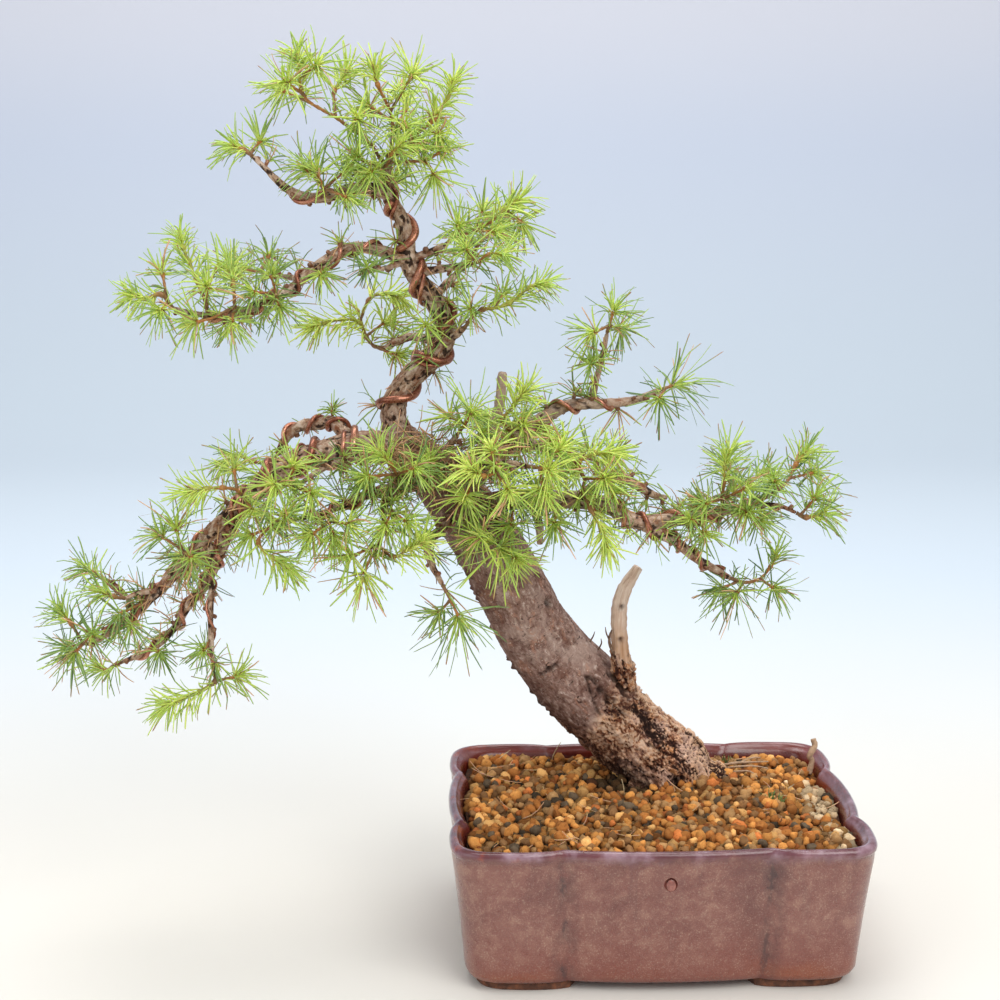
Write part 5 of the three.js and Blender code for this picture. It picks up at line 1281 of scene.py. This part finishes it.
def growStar(leafage, centre, axis, length, tone, count, dryShare):  # a rosette on a short spur
    side, up = sidesOf(axis)
    start = draws.uniform(0, 2 * math.pi)
    heavy = draws.uniform(0, 2 * math.pi)  # a star is a little fuller on one side
    count = int(count * (0.72 + 0.34 * tone))
    for index in range(count):
        turn = start + index * goldenTurn + draws.normal(0, 0.3)
        turn += 0.35 * math.sin(turn - heavy)
        radial = turned(side, up, turn)
        share = (index + 0.5) / count
        lean = math.radians(6 + 80 * share ** 0.75 + draws.normal(0, 8))
        base = centre + axis * (1.4 - 2.6 * share) + radial * 0.9
        direction = turned(axis, radial, lean)
        reach = length * draws.uniform(0.68, 1.12) * (1 - 0.1 * share)
        growNeedle(leafage, base, direction, radial, reach, tone, dryShare)
    for index in range(count // 4):  # short young needles in the middle
        turn = start + index * goldenTurn
        radial = turned(side, up, turn)
        growNeedle(leafage, centre + axis * 0.6, axis + radial * draws.uniform(0.1, 0.5), radial,
                   length * draws.uniform(0.25, 0.5), tone + 0.3, 0, 0.2)


def growBrush(leafage, line, length, tone, count, dryShare):  # the end of a long shoot
    along, side, up = framesOf(line)
    last = len(line) - 1
    for index in range(count):
        turn = index * goldenTurn + draws.normal(0, 0.3)
        share = (index + 0.5) / count
        at = max(0, last - int(share * 7))
        radial = turned(side[at], up[at], turn)
        lean = math.radians(4 + 46 * share ** 0.6 + draws.normal(0, 7))
        direction = turned(along[at], radial, lean)
        growNeedle(leafage, line[at, :3] + radial * 0.7, direction, radial,
                   length * draws.uniform(0.6, 1.05), tone, dryShare)


def growAlong(leafage, line, length, tone):
    # single needles in a spiral along a long shoot, leaning forward
    steps = np.linalg.norm(np.diff(line[:, :3], axis=0), axis=1)
    places = np.concatenate([[0], np.cumsum(steps)])
    along, side, up = framesOf(line)
    for index in range(int(places[-1] * needle["perStep"])):
        place = draws.uniform(0, places[-1])
        at = min(np.searchsorted(places, place), len(line) - 1)
        turn = index * goldenTurn + draws.normal(0, 0.2)
        radial = turned(side[at], up[at], turn)
        lean = math.radians(draws.uniform(30, 62))
        direction = turned(along[at], radial, lean)
        growNeedle(leafage, line[at, :3] + radial * 0.7, direction, radial,
                   length * draws.uniform(0.65, 1.1), tone, needle["dryShare"] * 0.5)


def footOn(branch, first):
    line = throughPoints(wood[branch], 1.5)
    return line[nearestRow(line, first), :3]


def shootLine(points, hubs, startRadius, endRadius):
    knots = np.array([[*p[:3], 0] for p in points], float)
    line = throughPoints(knots, 1.4)
    share = np.linspace(0, 1, len(line))
    line[:, 3] = startRadius * (1 - share) + endRadius * share
    line[:, 3] *= 1 + 0.16 * np.sin(np.arange(len(line)) * 2.3 + points[0][0])
    for hub in hubs:
        away = np.linalg.norm(line[:, :3] - np.array(hub[:3]), axis=1)
        line[:, 3] += 0.75 * np.exp(-(away / 1.7) ** 2)
    return line


shootColors = {"old": tintOf(132, 98, 68), "young": tintOf(176, 116, 60), "green": tintOf(168, 164, 74),
               "bud": tintOf(120, 66, 38)}


def growShoot(leafage, points, hubs, tone, radius):
    line = shootLine(points, hubs, radius, 0.6)
    corners, faces = tubeArrays(line, 6, 0.06)
    ring = np.concatenate([np.repeat(np.arange(len(line)), 6), [0, len(line) - 1]])
    young = smoothStep(ring / len(line), 0.1, 0.8)[:, None]
    colors = shootColors["old"] * (1 - young) + shootColors["young"] * young
    first = nearestRow(line, hubs[0])
    length = hubs[-1][3] * needle["reach"]
    if len(hubs) > 1:
        green = smoothStep(ring, first, first + 6)[:, None]
        colors = colors * (1 - green) + shootColors["green"] * green
        growAlong(leafage, line[first:], length * 0.95, tone + 0.08)
        growBrush(leafage, line, length * 0.9, tone + 0.12, needle["brush"], 0.01)
    else:
        axis = unit(line[-1, :3] - line[-4, :3])
        growStar(leafage, line[-1, :3], axis, length, tone, needle["star"], needle["dryShare"])
    leafage.add(corners, faces, colors * draws.uniform(0.75, 1.2, (len(corners), 1)))
    place = draws.uniform(2, needle["inner"])
    along, side, up = framesOf(line)
    while place < first - 2:  # small spurs on the older wood of the shoot
        at = int(place)
        turn = draws.uniform(0, 2 * math.pi)
        axis = unit(turned(side[at], up[at], turn) + along[at] * 0.5)
        growStar(leafage, line[at, :3] + axis, axis, length * draws.uniform(0.55, 0.85), tone - 0.12,
                 int(draws.integers(9, 17)), 0.1)
        place += needle["inner"] * draws.uniform(0.6, 1.4)


def growSpray(name):
    branch, tone, lists = sprays[name]
    leafage = Leafage()
    for number, shoot in enumerate(lists):
        if isinstance(shoot[0], int):
            shoot = [lists[0][shoot[0]][:3], *shoot[1:]]
        hubs = [p for p in shoot if len(p) > 3]
        points = [list(p[:3]) for p in shoot]
        if number == 0:
            points.insert(0, list(footOn(branch, points[0])))
            if np.linalg.norm(np.subtract(points[0], points[1])) < 1.2:
                points.pop(1)
        growShoot(leafage, points, hubs, tone, 0.9 if number else 1.1)
    return leafage.piece("needles_" + name)


def needleMaterial():
    newMaterial("larchNeedles", {"Roughness": 0.45, "Subsurface Weight": 0.35,
                                 "Subsurface Radius": (0.0008, 0.0016, 0.0004), "Specular IOR Level": 0.35})
    place = objectPlace()
    tint = attributeOf("tint", "Color")
    mottle = noiseOf(place, 700, 3, 0.6)
    color = tinted(tint, (70, 96, 36), mottle, 0.45, 0.3, 0.25)
    color = tinted(color, (236, 244, 150), mottle, 0.55, 0.75, 0.2)
    return toSurface(color, spread(mottle, 0.3, 0.7, 0.36, 0.5))


foliage = needleMaterial()
total = 0
for name in sprays:
    spray = growSpray(name)
    finishPiece(spray, foliage, "needles", "spray_" + name)
    total += len(spray.data.polygons)
print("sprays made", total, "faces")


# Spurs on the branches: knobs with scars, some of them with a few short needles

spurs = {"spacing": 6.5, "leafy": 0.36, "radius": 1.25, "length": 2.4,
         "outline": [(0, 1.15), (0.35, 0.9), (0.5, 1.12), (0.72, 0.95), (0.9, 1.15), (1.12, 0.5)],
         "skip": {"trunk": 12.5, "jin": 99, "stub": 99, "downStub": 99},
         "dense": {"centre", "centreUp", "centreLow", "frontLeft", "frontLeftLow", "lowTwig", "archTwig",
                   "right", "rightTwin", "backCentre"}}

tufts = [  # lone tufts: how bright they are, and their shoot as in the table of sprays
    [0.5, [[-116, 8, 330], [-118, 2, 332], [-120, -4, 334, 16]]],
    [0.45, [[-172, -9, 364], [-172, -17, 361, 14]]],
    [0.3, [[-150, -7, 361], [-149, -15, 364, 14]]],
    [0.4, [[-170, 19, 281], [-170, 17, 287, 9]]],
    [0.4, [[-232, -24, 174], [-235, -32, 170, 14]]],
    [0.5, [[45, -9, 241], [44, -17, 239], [45, -23, 239, 19]]],
    [0.45, [[44, -17, 239], [52, -18, 234, 16]]],
    [0.5, [[22, -14, 234], [22, -21, 232], [23, -25, 229, 17]]],
    [0.45, [[22, -21, 232], [15, -30, 237, 16]]],
    [0.68, [[-96, -10, 262], [-98, -22, 252], [-100, -30, 249, 19]]],
    [0.62, [[-62, -12, 246], [-63, -24, 250], [-64, -32, 252, 19]]],
    [0.55, [[-52, -16, 245], [-54, -28, 240], [-55, -34, 236, 18]]],
    [0.5, [[-76, 1, 242], [-76, -18, 238], [-77, -28, 234, 18]]],
    [0.5, [[-109, -2, 258], [-116, -16, 262], [-118, -24, 266, 18]]],
    [0.55, [[-60, -3, 284], [-58, -14, 280], [-57, -20, 276, 17]]],
    [0.45, [[-28, -22, 243], [-26, -30, 248], [-25, -36, 252, 16]]],
    [0.5, [[-145, -11, 249], [-148, -22, 254], [-150, -28, 258, 17]]],
    [0.6, [[-88, 12, 262], [-90, -4, 274], [-91, -12, 279, 17]]],
    [0.5, [[-100, 18, 232], [-98, -2, 226], [-96, -12, 223, 17]]],
]


def growSpurs():
    knobs, leaves = Leafage(), Leafage()
    for name, points in wood.items():
        line = throughPoints(points, 1)
        along, side, up = framesOf(line)
        first = spurs["skip"].get(name, 1 if len(points) > 4 else 0.6)
        if first > len(points):
            continue
        place = nearestRow(line, points[int(first)]) + draws.uniform(0, spurs["spacing"])
        while place < len(line) - 3:
            index = int(place)
            turn = draws.uniform(0, 2 * math.pi)
            radial = unit(turned(side[index], up[index], turn) + along[index] * 0.35)
            radius = spurs["radius"] * draws.uniform(0.75, 1.2)
            reach = spurs["length"] * draws.uniform(0.7, 1.5)
            root = line[index, :3] + radial * (line[index, 3] - 0.8)
            rows = [[*(root + radial * reach * share), radius * size]
                    for share, size in spurs["outline"]]
            corners, faces = tubeArrays(np.array(rows), 7, 0.08)
            tone = draws.uniform(0.6, 1.25)
            knobs.add(corners, faces, np.tile(shootColors["bud"] * tone, (len(corners), 1)))
            if draws.random() < (0.85 if name in spurs["dense"] else spurs["leafy"]):
                count = int(draws.integers(7, 20))
                growStar(leaves, root + radial * reach, radial, draws.uniform(10, 18),
                         draws.uniform(0.2, 0.6), count, 0.2)
            place += spurs["spacing"] * draws.uniform(0.45, 1.6)
    for tone, shoot in tufts:
        growShoot(leaves, [p[:3] for p in shoot], shoot[-1:], tone, 0.9)
    return knobs.piece("spur_knobs"), leaves.piece("spur_needles")


def spurMaterial():
    newMaterial("spurBark", {"Roughness": 0.8})
    place = objectPlace()
    tint = attributeOf("tint", "Color")
    grain = noiseOf(place, 600, 4, 0.7)
    color = tinted(tint, (176, 150, 124), grain, 0.35, 0.7, 0.6)
    return toSurface(color, None, grain, 0.6, 0.0003)


knobs, spurNeedles = growSpurs()
twigBark = spurMaterial()
finishPiece(knobs, twigBark, "bark")
finishPiece(spurNeedles, foliage, "needles")
print("spurs made", len(spurNeedles.data.polygons), "faces")


# Dry needles caught in the middle of the tree, and fallen ones on the soil

litter = {
    "caught": 420, "caughtBox": [(-142, -78), (-22, 6), (252, 276)],
    "along": [["leftMain", 0.5, 1.0, 130], ["leftCascade", 0.1, 0.9, 50], ["right", 0.45, 0.9, 60],
              ["left", 0.2, 0.9, 36], ["trunk", 0.62, 0.9, 46]],
    "fallen": 60, "moss": [[50, 62], [52, 60], [67, -3], [65, 1], [70, -8]],
    "twigs": [[[97, 49, 71, 1.9], [98.6, 50, 78, 1.6], [97.4, 50, 82, 1.9], [100.2, 51, 87, 1.8],
               [99.4, 52, 91, 1.5]],
              [[44, 52, 75, 0.7], [54, 50, 77.5, 0.8], [62, 54, 76.5, 0.6], [74, 52, 77.5, 0.4]],
              [[48, 46, 76, 0.5], [56, 43, 78, 0.6], [66, 47, 76.5, 0.5], [72, 42, 77, 0.4]],
              [[58, 56, 75.5, 0.6], [66, 60, 77, 0.5], [72, 66, 75, 0.4]],
              [[52, 40, 76, 0.5], [60, 36, 77.6, 0.5], [64, 30, 76.5, 0.3]]],
    "straws": [[[-50, 70, 72, 0.35], [-48, 70, 78, 0.3], [-44.5, 70, 84, 0.2]],
               [[-84, 62, 73, 0.35], [-80, 64, 77, 0.3], [-74, 66, 81, 0.2]],
               [[-13, 10, 74, 0.3], [-13.6, 10, 79, 0.2], [-14.6, 10, 83, 0.2]]],
    "thorns": [[[-31, 33, 155, 0.5], [-29.5, 31, 158.5, 0.4], [-28.6, 30, 161.5, 0.2]],
               [[-26.3, 34, 150, 0.5], [-24.6, 33, 154, 0.4], [-25, 31.5, 157, 0.2]],
               [[-18, 24, 150, 1.0], [-20.8, 22, 156, 0.9], [-21.2, 21.5, 161, 0.7], [-20, 21, 165, 0.4]],
               [[-20.8, 22, 158, 0.5], [-23, 21, 163, 0.4], [-23.6, 21, 166.5, 0.2]]],
}


def scatterLitter():
    caught = Leafage()
    for _ in range(litter["caught"]):
        root = np.array([draws.uniform(low, high) for low, high in litter["caughtBox"]])
        direction = unit(draws.normal(0, 1, 3) * (1, 0.7, 0.55))
        growNeedle(caught, root, direction, np.array([0, 0, 1.0]), draws.uniform(10, 20), 0.3, 0.8)
    for branch, first, last, number in litter["along"]:
        line = throughPoints(wood[branch], 2)
        for place in draws.uniform(first, last, number):
            outward = unit(draws.normal(0, 1, 3))
            root = line[int(place * (len(line) - 1))]
            growNeedle(caught, root[:3] + outward * root[3] * 0.9, unit(draws.normal(0, 1, 3)), outward,
                       draws.uniform(8, 16), 0.25, 0.75)
    fallen = Leafage()
    while fallen.count < litter["fallen"] * len(needleCorners):
        x, y = draws.uniform(-95, 95), draws.uniform(-72, 72)
        if edgeShare(x, y) > 0.84:
            continue
        heading = draws.uniform(0, 2 * math.pi)
        direction = np.array([math.cos(heading), math.sin(heading), draws.uniform(-0.05, 0.12)])
        growNeedle(fallen, np.array([x, y, soilHeight(x, y) + 2.6]), direction, np.array([0, 0, 1.0]),
                   draws.uniform(8, 17), 0.3, 1)
    for x, y in litter["moss"]:
        for _ in range(12):
            root = np.array([x, y, soilHeight(x, y) + 1.5]) + draws.normal(0, 1, 3) * (1, 1, 0.2)
            growNeedle(fallen, root, draws.normal(0, 0.45, 3) + (0, 0, 1), np.array([0, 0, 1.0]),
                       draws.uniform(4, 6.5), 0.1, 0)
    return caught.piece("dry_needles"), fallen.piece("fallen_needles")


def layTwigs():
    twigs = Leafage()
    colorOf = {"twigs": (182, 148, 118), "straws": (226, 206, 160), "thorns": (92, 62, 50)}
    for name, color in colorOf.items():
        for points in litter[name]:
            corners, faces = tubeArrays(throughPoints(points, 1), 7, 0.1 if name == "twigs" else 0)
            colors = np.tile(tintOf(*color), (len(corners), 1))
            twigs.add(corners, faces, colors * draws.uniform(0.6, 1.15, (len(corners), 1)))
    return twigs.piece("loose_twigs")


# Soil

# the soil table also places the painted shadow under the leaning trunk
soil = {"edge": 72.0, "mound": 1.6, "backDrop": 4.2, "pitch": 4.3, "size": 4.7, "share": 0.9,
        "stumpRadius": 24, "shadowX": -12, "shadowY": 25, "shadowRadius": 20,
        "dip": 2.6, "dipX": 0, "dipY": 20, "dipRadius": 15,
        "bedDrop": 8, "rings": 22, "ringWidth": 3.2, "reachX": 108, "reachY": 84, "kinds": 9}


def soilHeight(x, y):
    share = edgeShare(x, y)
    back = smoothStep(np.asarray(x) * 0.35 + np.asarray(y), 10, 90)
    dip = np.exp(-((np.asarray(x) - soil["dipX"]) ** 2 + (np.asarray(y) - soil["dipY"]) ** 2)
                 / soil["dipRadius"] ** 2)
    return (soil["edge"] + soil["mound"] * (1 - share ** 2) - soil["backDrop"] * back * share ** 2
            - soil["dip"] * dip)


def makeSoilBed():
    inset, top = pot["lip"] + 1.4, soil["edge"]
    bed = startRing("soil_bed", inset, top - soil["bedDrop"])
    bpy.ops.mesh.edge_face_add()
    raiseRing(inset, top - soil["bedDrop"], inset, top)
    for _ in range(soil["rings"]):
        raiseRing(inset, top, inset + soil["ringWidth"], top)
        inset += soil["ringWidth"]
    bpy.ops.mesh.edge_face_add()
    endEdit()
    for vertex in bed.data.vertices:
        x, y, z = (np.array(vertex.co) - potMiddle) / mm
        if z > top - soil["bedDrop"] / 2:
            rough = noise.noise(Vector((x, y, 3)) * 0.3) * 1.4
            vertex.co.z = (float(soilHeight(x, y)) - 1.6 + rough) * mm
    smoothFaces(bed)
    return bed


def modelStone(seed):
    deselect()
    bpy.ops.mesh.primitive_cube_add(size=1)
    stone = bpy.context.object
    startEdit()
    bpy.ops.mesh.bevel(offset=0.27, segments=1, affect="EDGES")
    bpy.ops.object.mode_set(mode="OBJECT")
    for vertex in stone.data.vertices:
        push = noise.noise(vertex.co * 1.6 + Vector((seed * 7.3, seed, 2)))
        vertex.co *= 1 + 0.56 * push
    corners, faces = meshArrays(stone)
    bpy.data.objects.remove(stone)
    return corners, faces


stoneColors = [(200, 136, 70, 26), (220, 166, 100, 14), (168, 106, 52, 26), (170, 128, 82, 16),
               (134, 96, 60, 10), (98, 82, 64, 6), (198, 116, 60, 5)]  # and how often each comes
creamColor = tintOf(216, 186, 146)
# colour of the painted shadow under the leaning trunk
stumpShadowColor = tintOf(30, 25, 20)


def scatterStones():
    stones = [modelStone(seed) for seed in range(soil["kinds"])]
    weights = np.array([row[3] for row in stoneColors], float)
    weights /= weights.sum()
    grains = Leafage()
    pitch = soil["pitch"]
    for layer, keep in ((0, 1.0), (1, 0.5)):
        for row, y in enumerate(np.arange(-soil["reachY"], soil["reachY"], pitch * 0.87)):
            for x in np.arange(-soil["reachX"] + (row % 2) * pitch / 2, soil["reachX"], pitch):
                px = x + draws.uniform(-0.32, 0.32) * pitch
                py = y + draws.uniform(-0.32, 0.32) * pitch
                if edgeShare(px, py) > soil["share"] - 0.012 * layer or draws.random() > keep:
                    continue
                away = math.hypot(px - soilMiddle[0], py - soilMiddle[1])
                if away < soil["stumpRadius"] - 4:
                    continue
                # painted shadow of the leaning trunk on the soil at its left: dark stones, and fewer on top
                toShadow = math.hypot(px - soil["shadowX"], (py - soil["shadowY"]) * 1.2)
                inShadow = toShadow < soil["shadowRadius"] * draws.uniform(0.7, 1.1)
                if inShadow and layer and draws.random() < 0.6:
                    continue
                size = min(draws.lognormal(math.log(soil["size"]), 0.24), 7) * (0.9 if layer else 1)
                corners, faces = stones[draws.integers(len(stones))]
                turn = Quaternion(unit(draws.normal(0, 1, 4))).to_matrix()
                stretch = draws.uniform(0.72, 1.12, 3)
                z = soilHeight(px, py) + (-0.4 if layer == 0 else 2.6) + draws.uniform(-0.6, 0.6)
                z = min(z, pot["height"] - 1.6 - size * 0.3)
                shape = (corners * stretch * size) @ np.array(turn).T + (px, py, z)
                base = tintOf(*stoneColors[draws.choice(len(stoneColors), p=weights)][:3])
                cream = smoothStep(px + 0.12 * py, 75, 89) * smoothStep(py, 40, 20)
                if draws.random() < cream * 0.75:
                    base = creamColor * draws.uniform(0.8, 1.1)
                # painted shadow: stones under the trunk's overhang made nearly black
                if inShadow:
                    base = base * 0.12 + stumpShadowColor * 0.88
                # a random tone, with the lower layer darker: painted shade between the stones on top
                toneAndShade = draws.uniform(0.66, 1.42) * (1 if layer else 0.52)
                grains.add(shape, faces, np.tile(base * toneAndShade, (len(shape), 1)))
    grains = grains.piece("soil_grains")
    pick(grains)
    bpy.ops.object.shade_smooth_by_angle(angle=math.radians(72))
    return grains


def grainMaterial():
    newMaterial("akadama", {"Roughness": 0.92, "Specular IOR Level": 0.2})
    place = objectPlace()
    tint = attributeOf("tint", "Color")
    dust = noiseOf(place, 480, 5, 0.7)
    pores = noiseOf(place, 1500, 3, 0.6)
    color = mixed(spread(dust, 0.5, 0.72, 0, 0.6), tint, (1.3, 1.5, 1.8, 1), "MULTIPLY")
    color = mixed(spread(dust, 0.48, 0.3, 0, 0.65), color, (0.36, 0.3, 0.26, 1), "MULTIPLY")
    color = mixed(spread(pores, 0.6, 0.75, 0, 0.35), color, (1.4, 1.9, 3, 1), "MULTIPLY")
    relief = times(pores, 0.5, dust)
    return toSurface(color, None, relief, 0.7, 0.0006)


# dark soil under the stones, seen in the gaps between them: painted shade
def gapShadeMaterial():
    newMaterial("soilGapShade", {"Roughness": 1.0})
    place = objectPlace()
    grain = noiseOf(place, 300, 5, 0.7)
    color = ramp(grain, (0.35, 34, 17, 8), (0.6, 84, 48, 22))
    return toSurface(color, None, grain, 1, 0.001)


finishPiece(makeSoilBed(), gapShadeMaterial(), "soil", "soil")
soilGrains = scatterStones()
finishPiece(soilGrains, grainMaterial(), "soil", "soil")
for litterPiece in scatterLitter():
    finishPiece(litterPiece, foliage, "needles")
finishPiece(layTwigs(), twigBark, "bark")
print("soil made", len(soilGrains.data.polygons), "faces")

newMaterial("meshPlastic", {"Roughness": 0.6})
meshNoise = noiseOf(objectPlace(), 200, 3)
meshColor = ramp(meshNoise, (0.3, 24, 24, 24), (0.7, 44, 44, 42))
plastic = toSurface(meshColor, None, meshNoise, 0.2, 0.0003)
for side in ("left", "right"):
    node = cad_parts["drainage_mesh_" + side]
    node.data.materials.clear()
    node.data.materials.append(plastic)


# Stage: a pale floor that sweeps up behind, soft lights and the camera

stage = {"floorWidth": 9.0, "front": -4.0, "back": 2.6, "rise": 5.0, "bend": 1.1}


def makeFloor():
    deselect()
    bpy.ops.mesh.primitive_plane_add(size=1)
    floor = bpy.context.object
    floor.name = "floor"
    half = stage["floorWidth"] / 2
    places = [(x, stage[y], 0) for y in ("front", "back") for x in (-half, half)]
    for vertex, place in zip(floor.data.vertices, places):
        vertex.co = place
    startEdit()
    bpy.ops.mesh.select_all(action="DESELECT")
    bpy.ops.mesh.select_mode(type="EDGE")
    bpy.ops.object.mode_set(mode="OBJECT")
    for edge in floor.data.edges:
        ends = [floor.data.vertices[index].co.y for index in edge.vertices]
        edge.select = min(ends) > stage["back"] - 0.01
    bpy.ops.object.mode_set(mode="EDIT")
    bpy.ops.mesh.extrude_edges_move(TRANSFORM_OT_translate={"value": (0, 0, stage["rise"])})
    deselect()
    addModifier(floor, "BEVEL", width=stage["bend"], segments=24, limit_method="ANGLE")
    smoothFaces(floor)
    return floor


def floorMaterial():
    newMaterial("paleFloor", {"Roughness": 0.75})
    place = objectPlace()
    cloud = noiseOf(place, 2, 2)
    color = ramp(cloud, (0.3, 224, 219, 210), (0.7, 228, 224, 216))
    split = addNode("SeparateXYZ", {0: place}).outputs
    color = tinted(color, (212, 226, 238), split[1], 0.0, 0.9, 0.85)
    color = tinted(color, (218, 224, 240), split[2], 0.0, 0.5, 0.8)
    # painted light: lighter high on the sweep, where the lamps' light falls off
    color = tinted(color, (238, 236, 243), split[2], 0.4, 0.75, 0.8)
    return toSurface(color)


floor = makeFloor()
floor.data.materials.append(floorMaterial())

lights = {
    "key": [(0.95, -1.35, 1.6), 1.5, 28, (1, 0.985, 0.96)],
    "fill": [(-1.6, -1.0, 1.0), 1.6, 10, (0.95, 0.98, 1)],
    "top": [(-0.1, 0.3, 2.0), 1.4, 26, (1, 1, 1)],
}
for name, (place, size, power, tint) in lights.items():
    deselect()
    bpy.ops.object.light_add(type="AREA", location=place)
    lamp = bpy.context.object
    lamp.name = name
    lamp.data.size = size
    lamp.data.energy = power
    lamp.data.color = tint
    lamp.rotation_euler = (Vector((0, 0, 0.22)) - Vector(place)).to_track_quat("-Z", "Y").to_euler()

world = bpy.data.worlds.new("studio")
bpy.context.scene.world = world
world.use_nodes = True
world.node_tree.nodes["Background"].inputs["Color"].default_value = (0.9, 0.95, 1.0, 1)
world.node_tree.nodes["Background"].inputs["Strength"].default_value = 0.55
bpy.context.scene.view_settings.view_transform = "Standard"

view = {"place": (-105.4, -902.8, 417.2), "pitch": 11.0, "turn": -1.5, "lens": 63.0, "sensor": 36.0}
deselect()
bpy.ops.object.camera_add(location=spot(*view["place"]),
                          rotation=(math.radians(90 - view["pitch"]), 0, math.radians(view["turn"])))
camera = bpy.context.object
camera.data.lens = view["lens"]
camera.data.sensor_width = view["sensor"]
bpy.context.scene.camera = camera
deselect()

print("stage set")
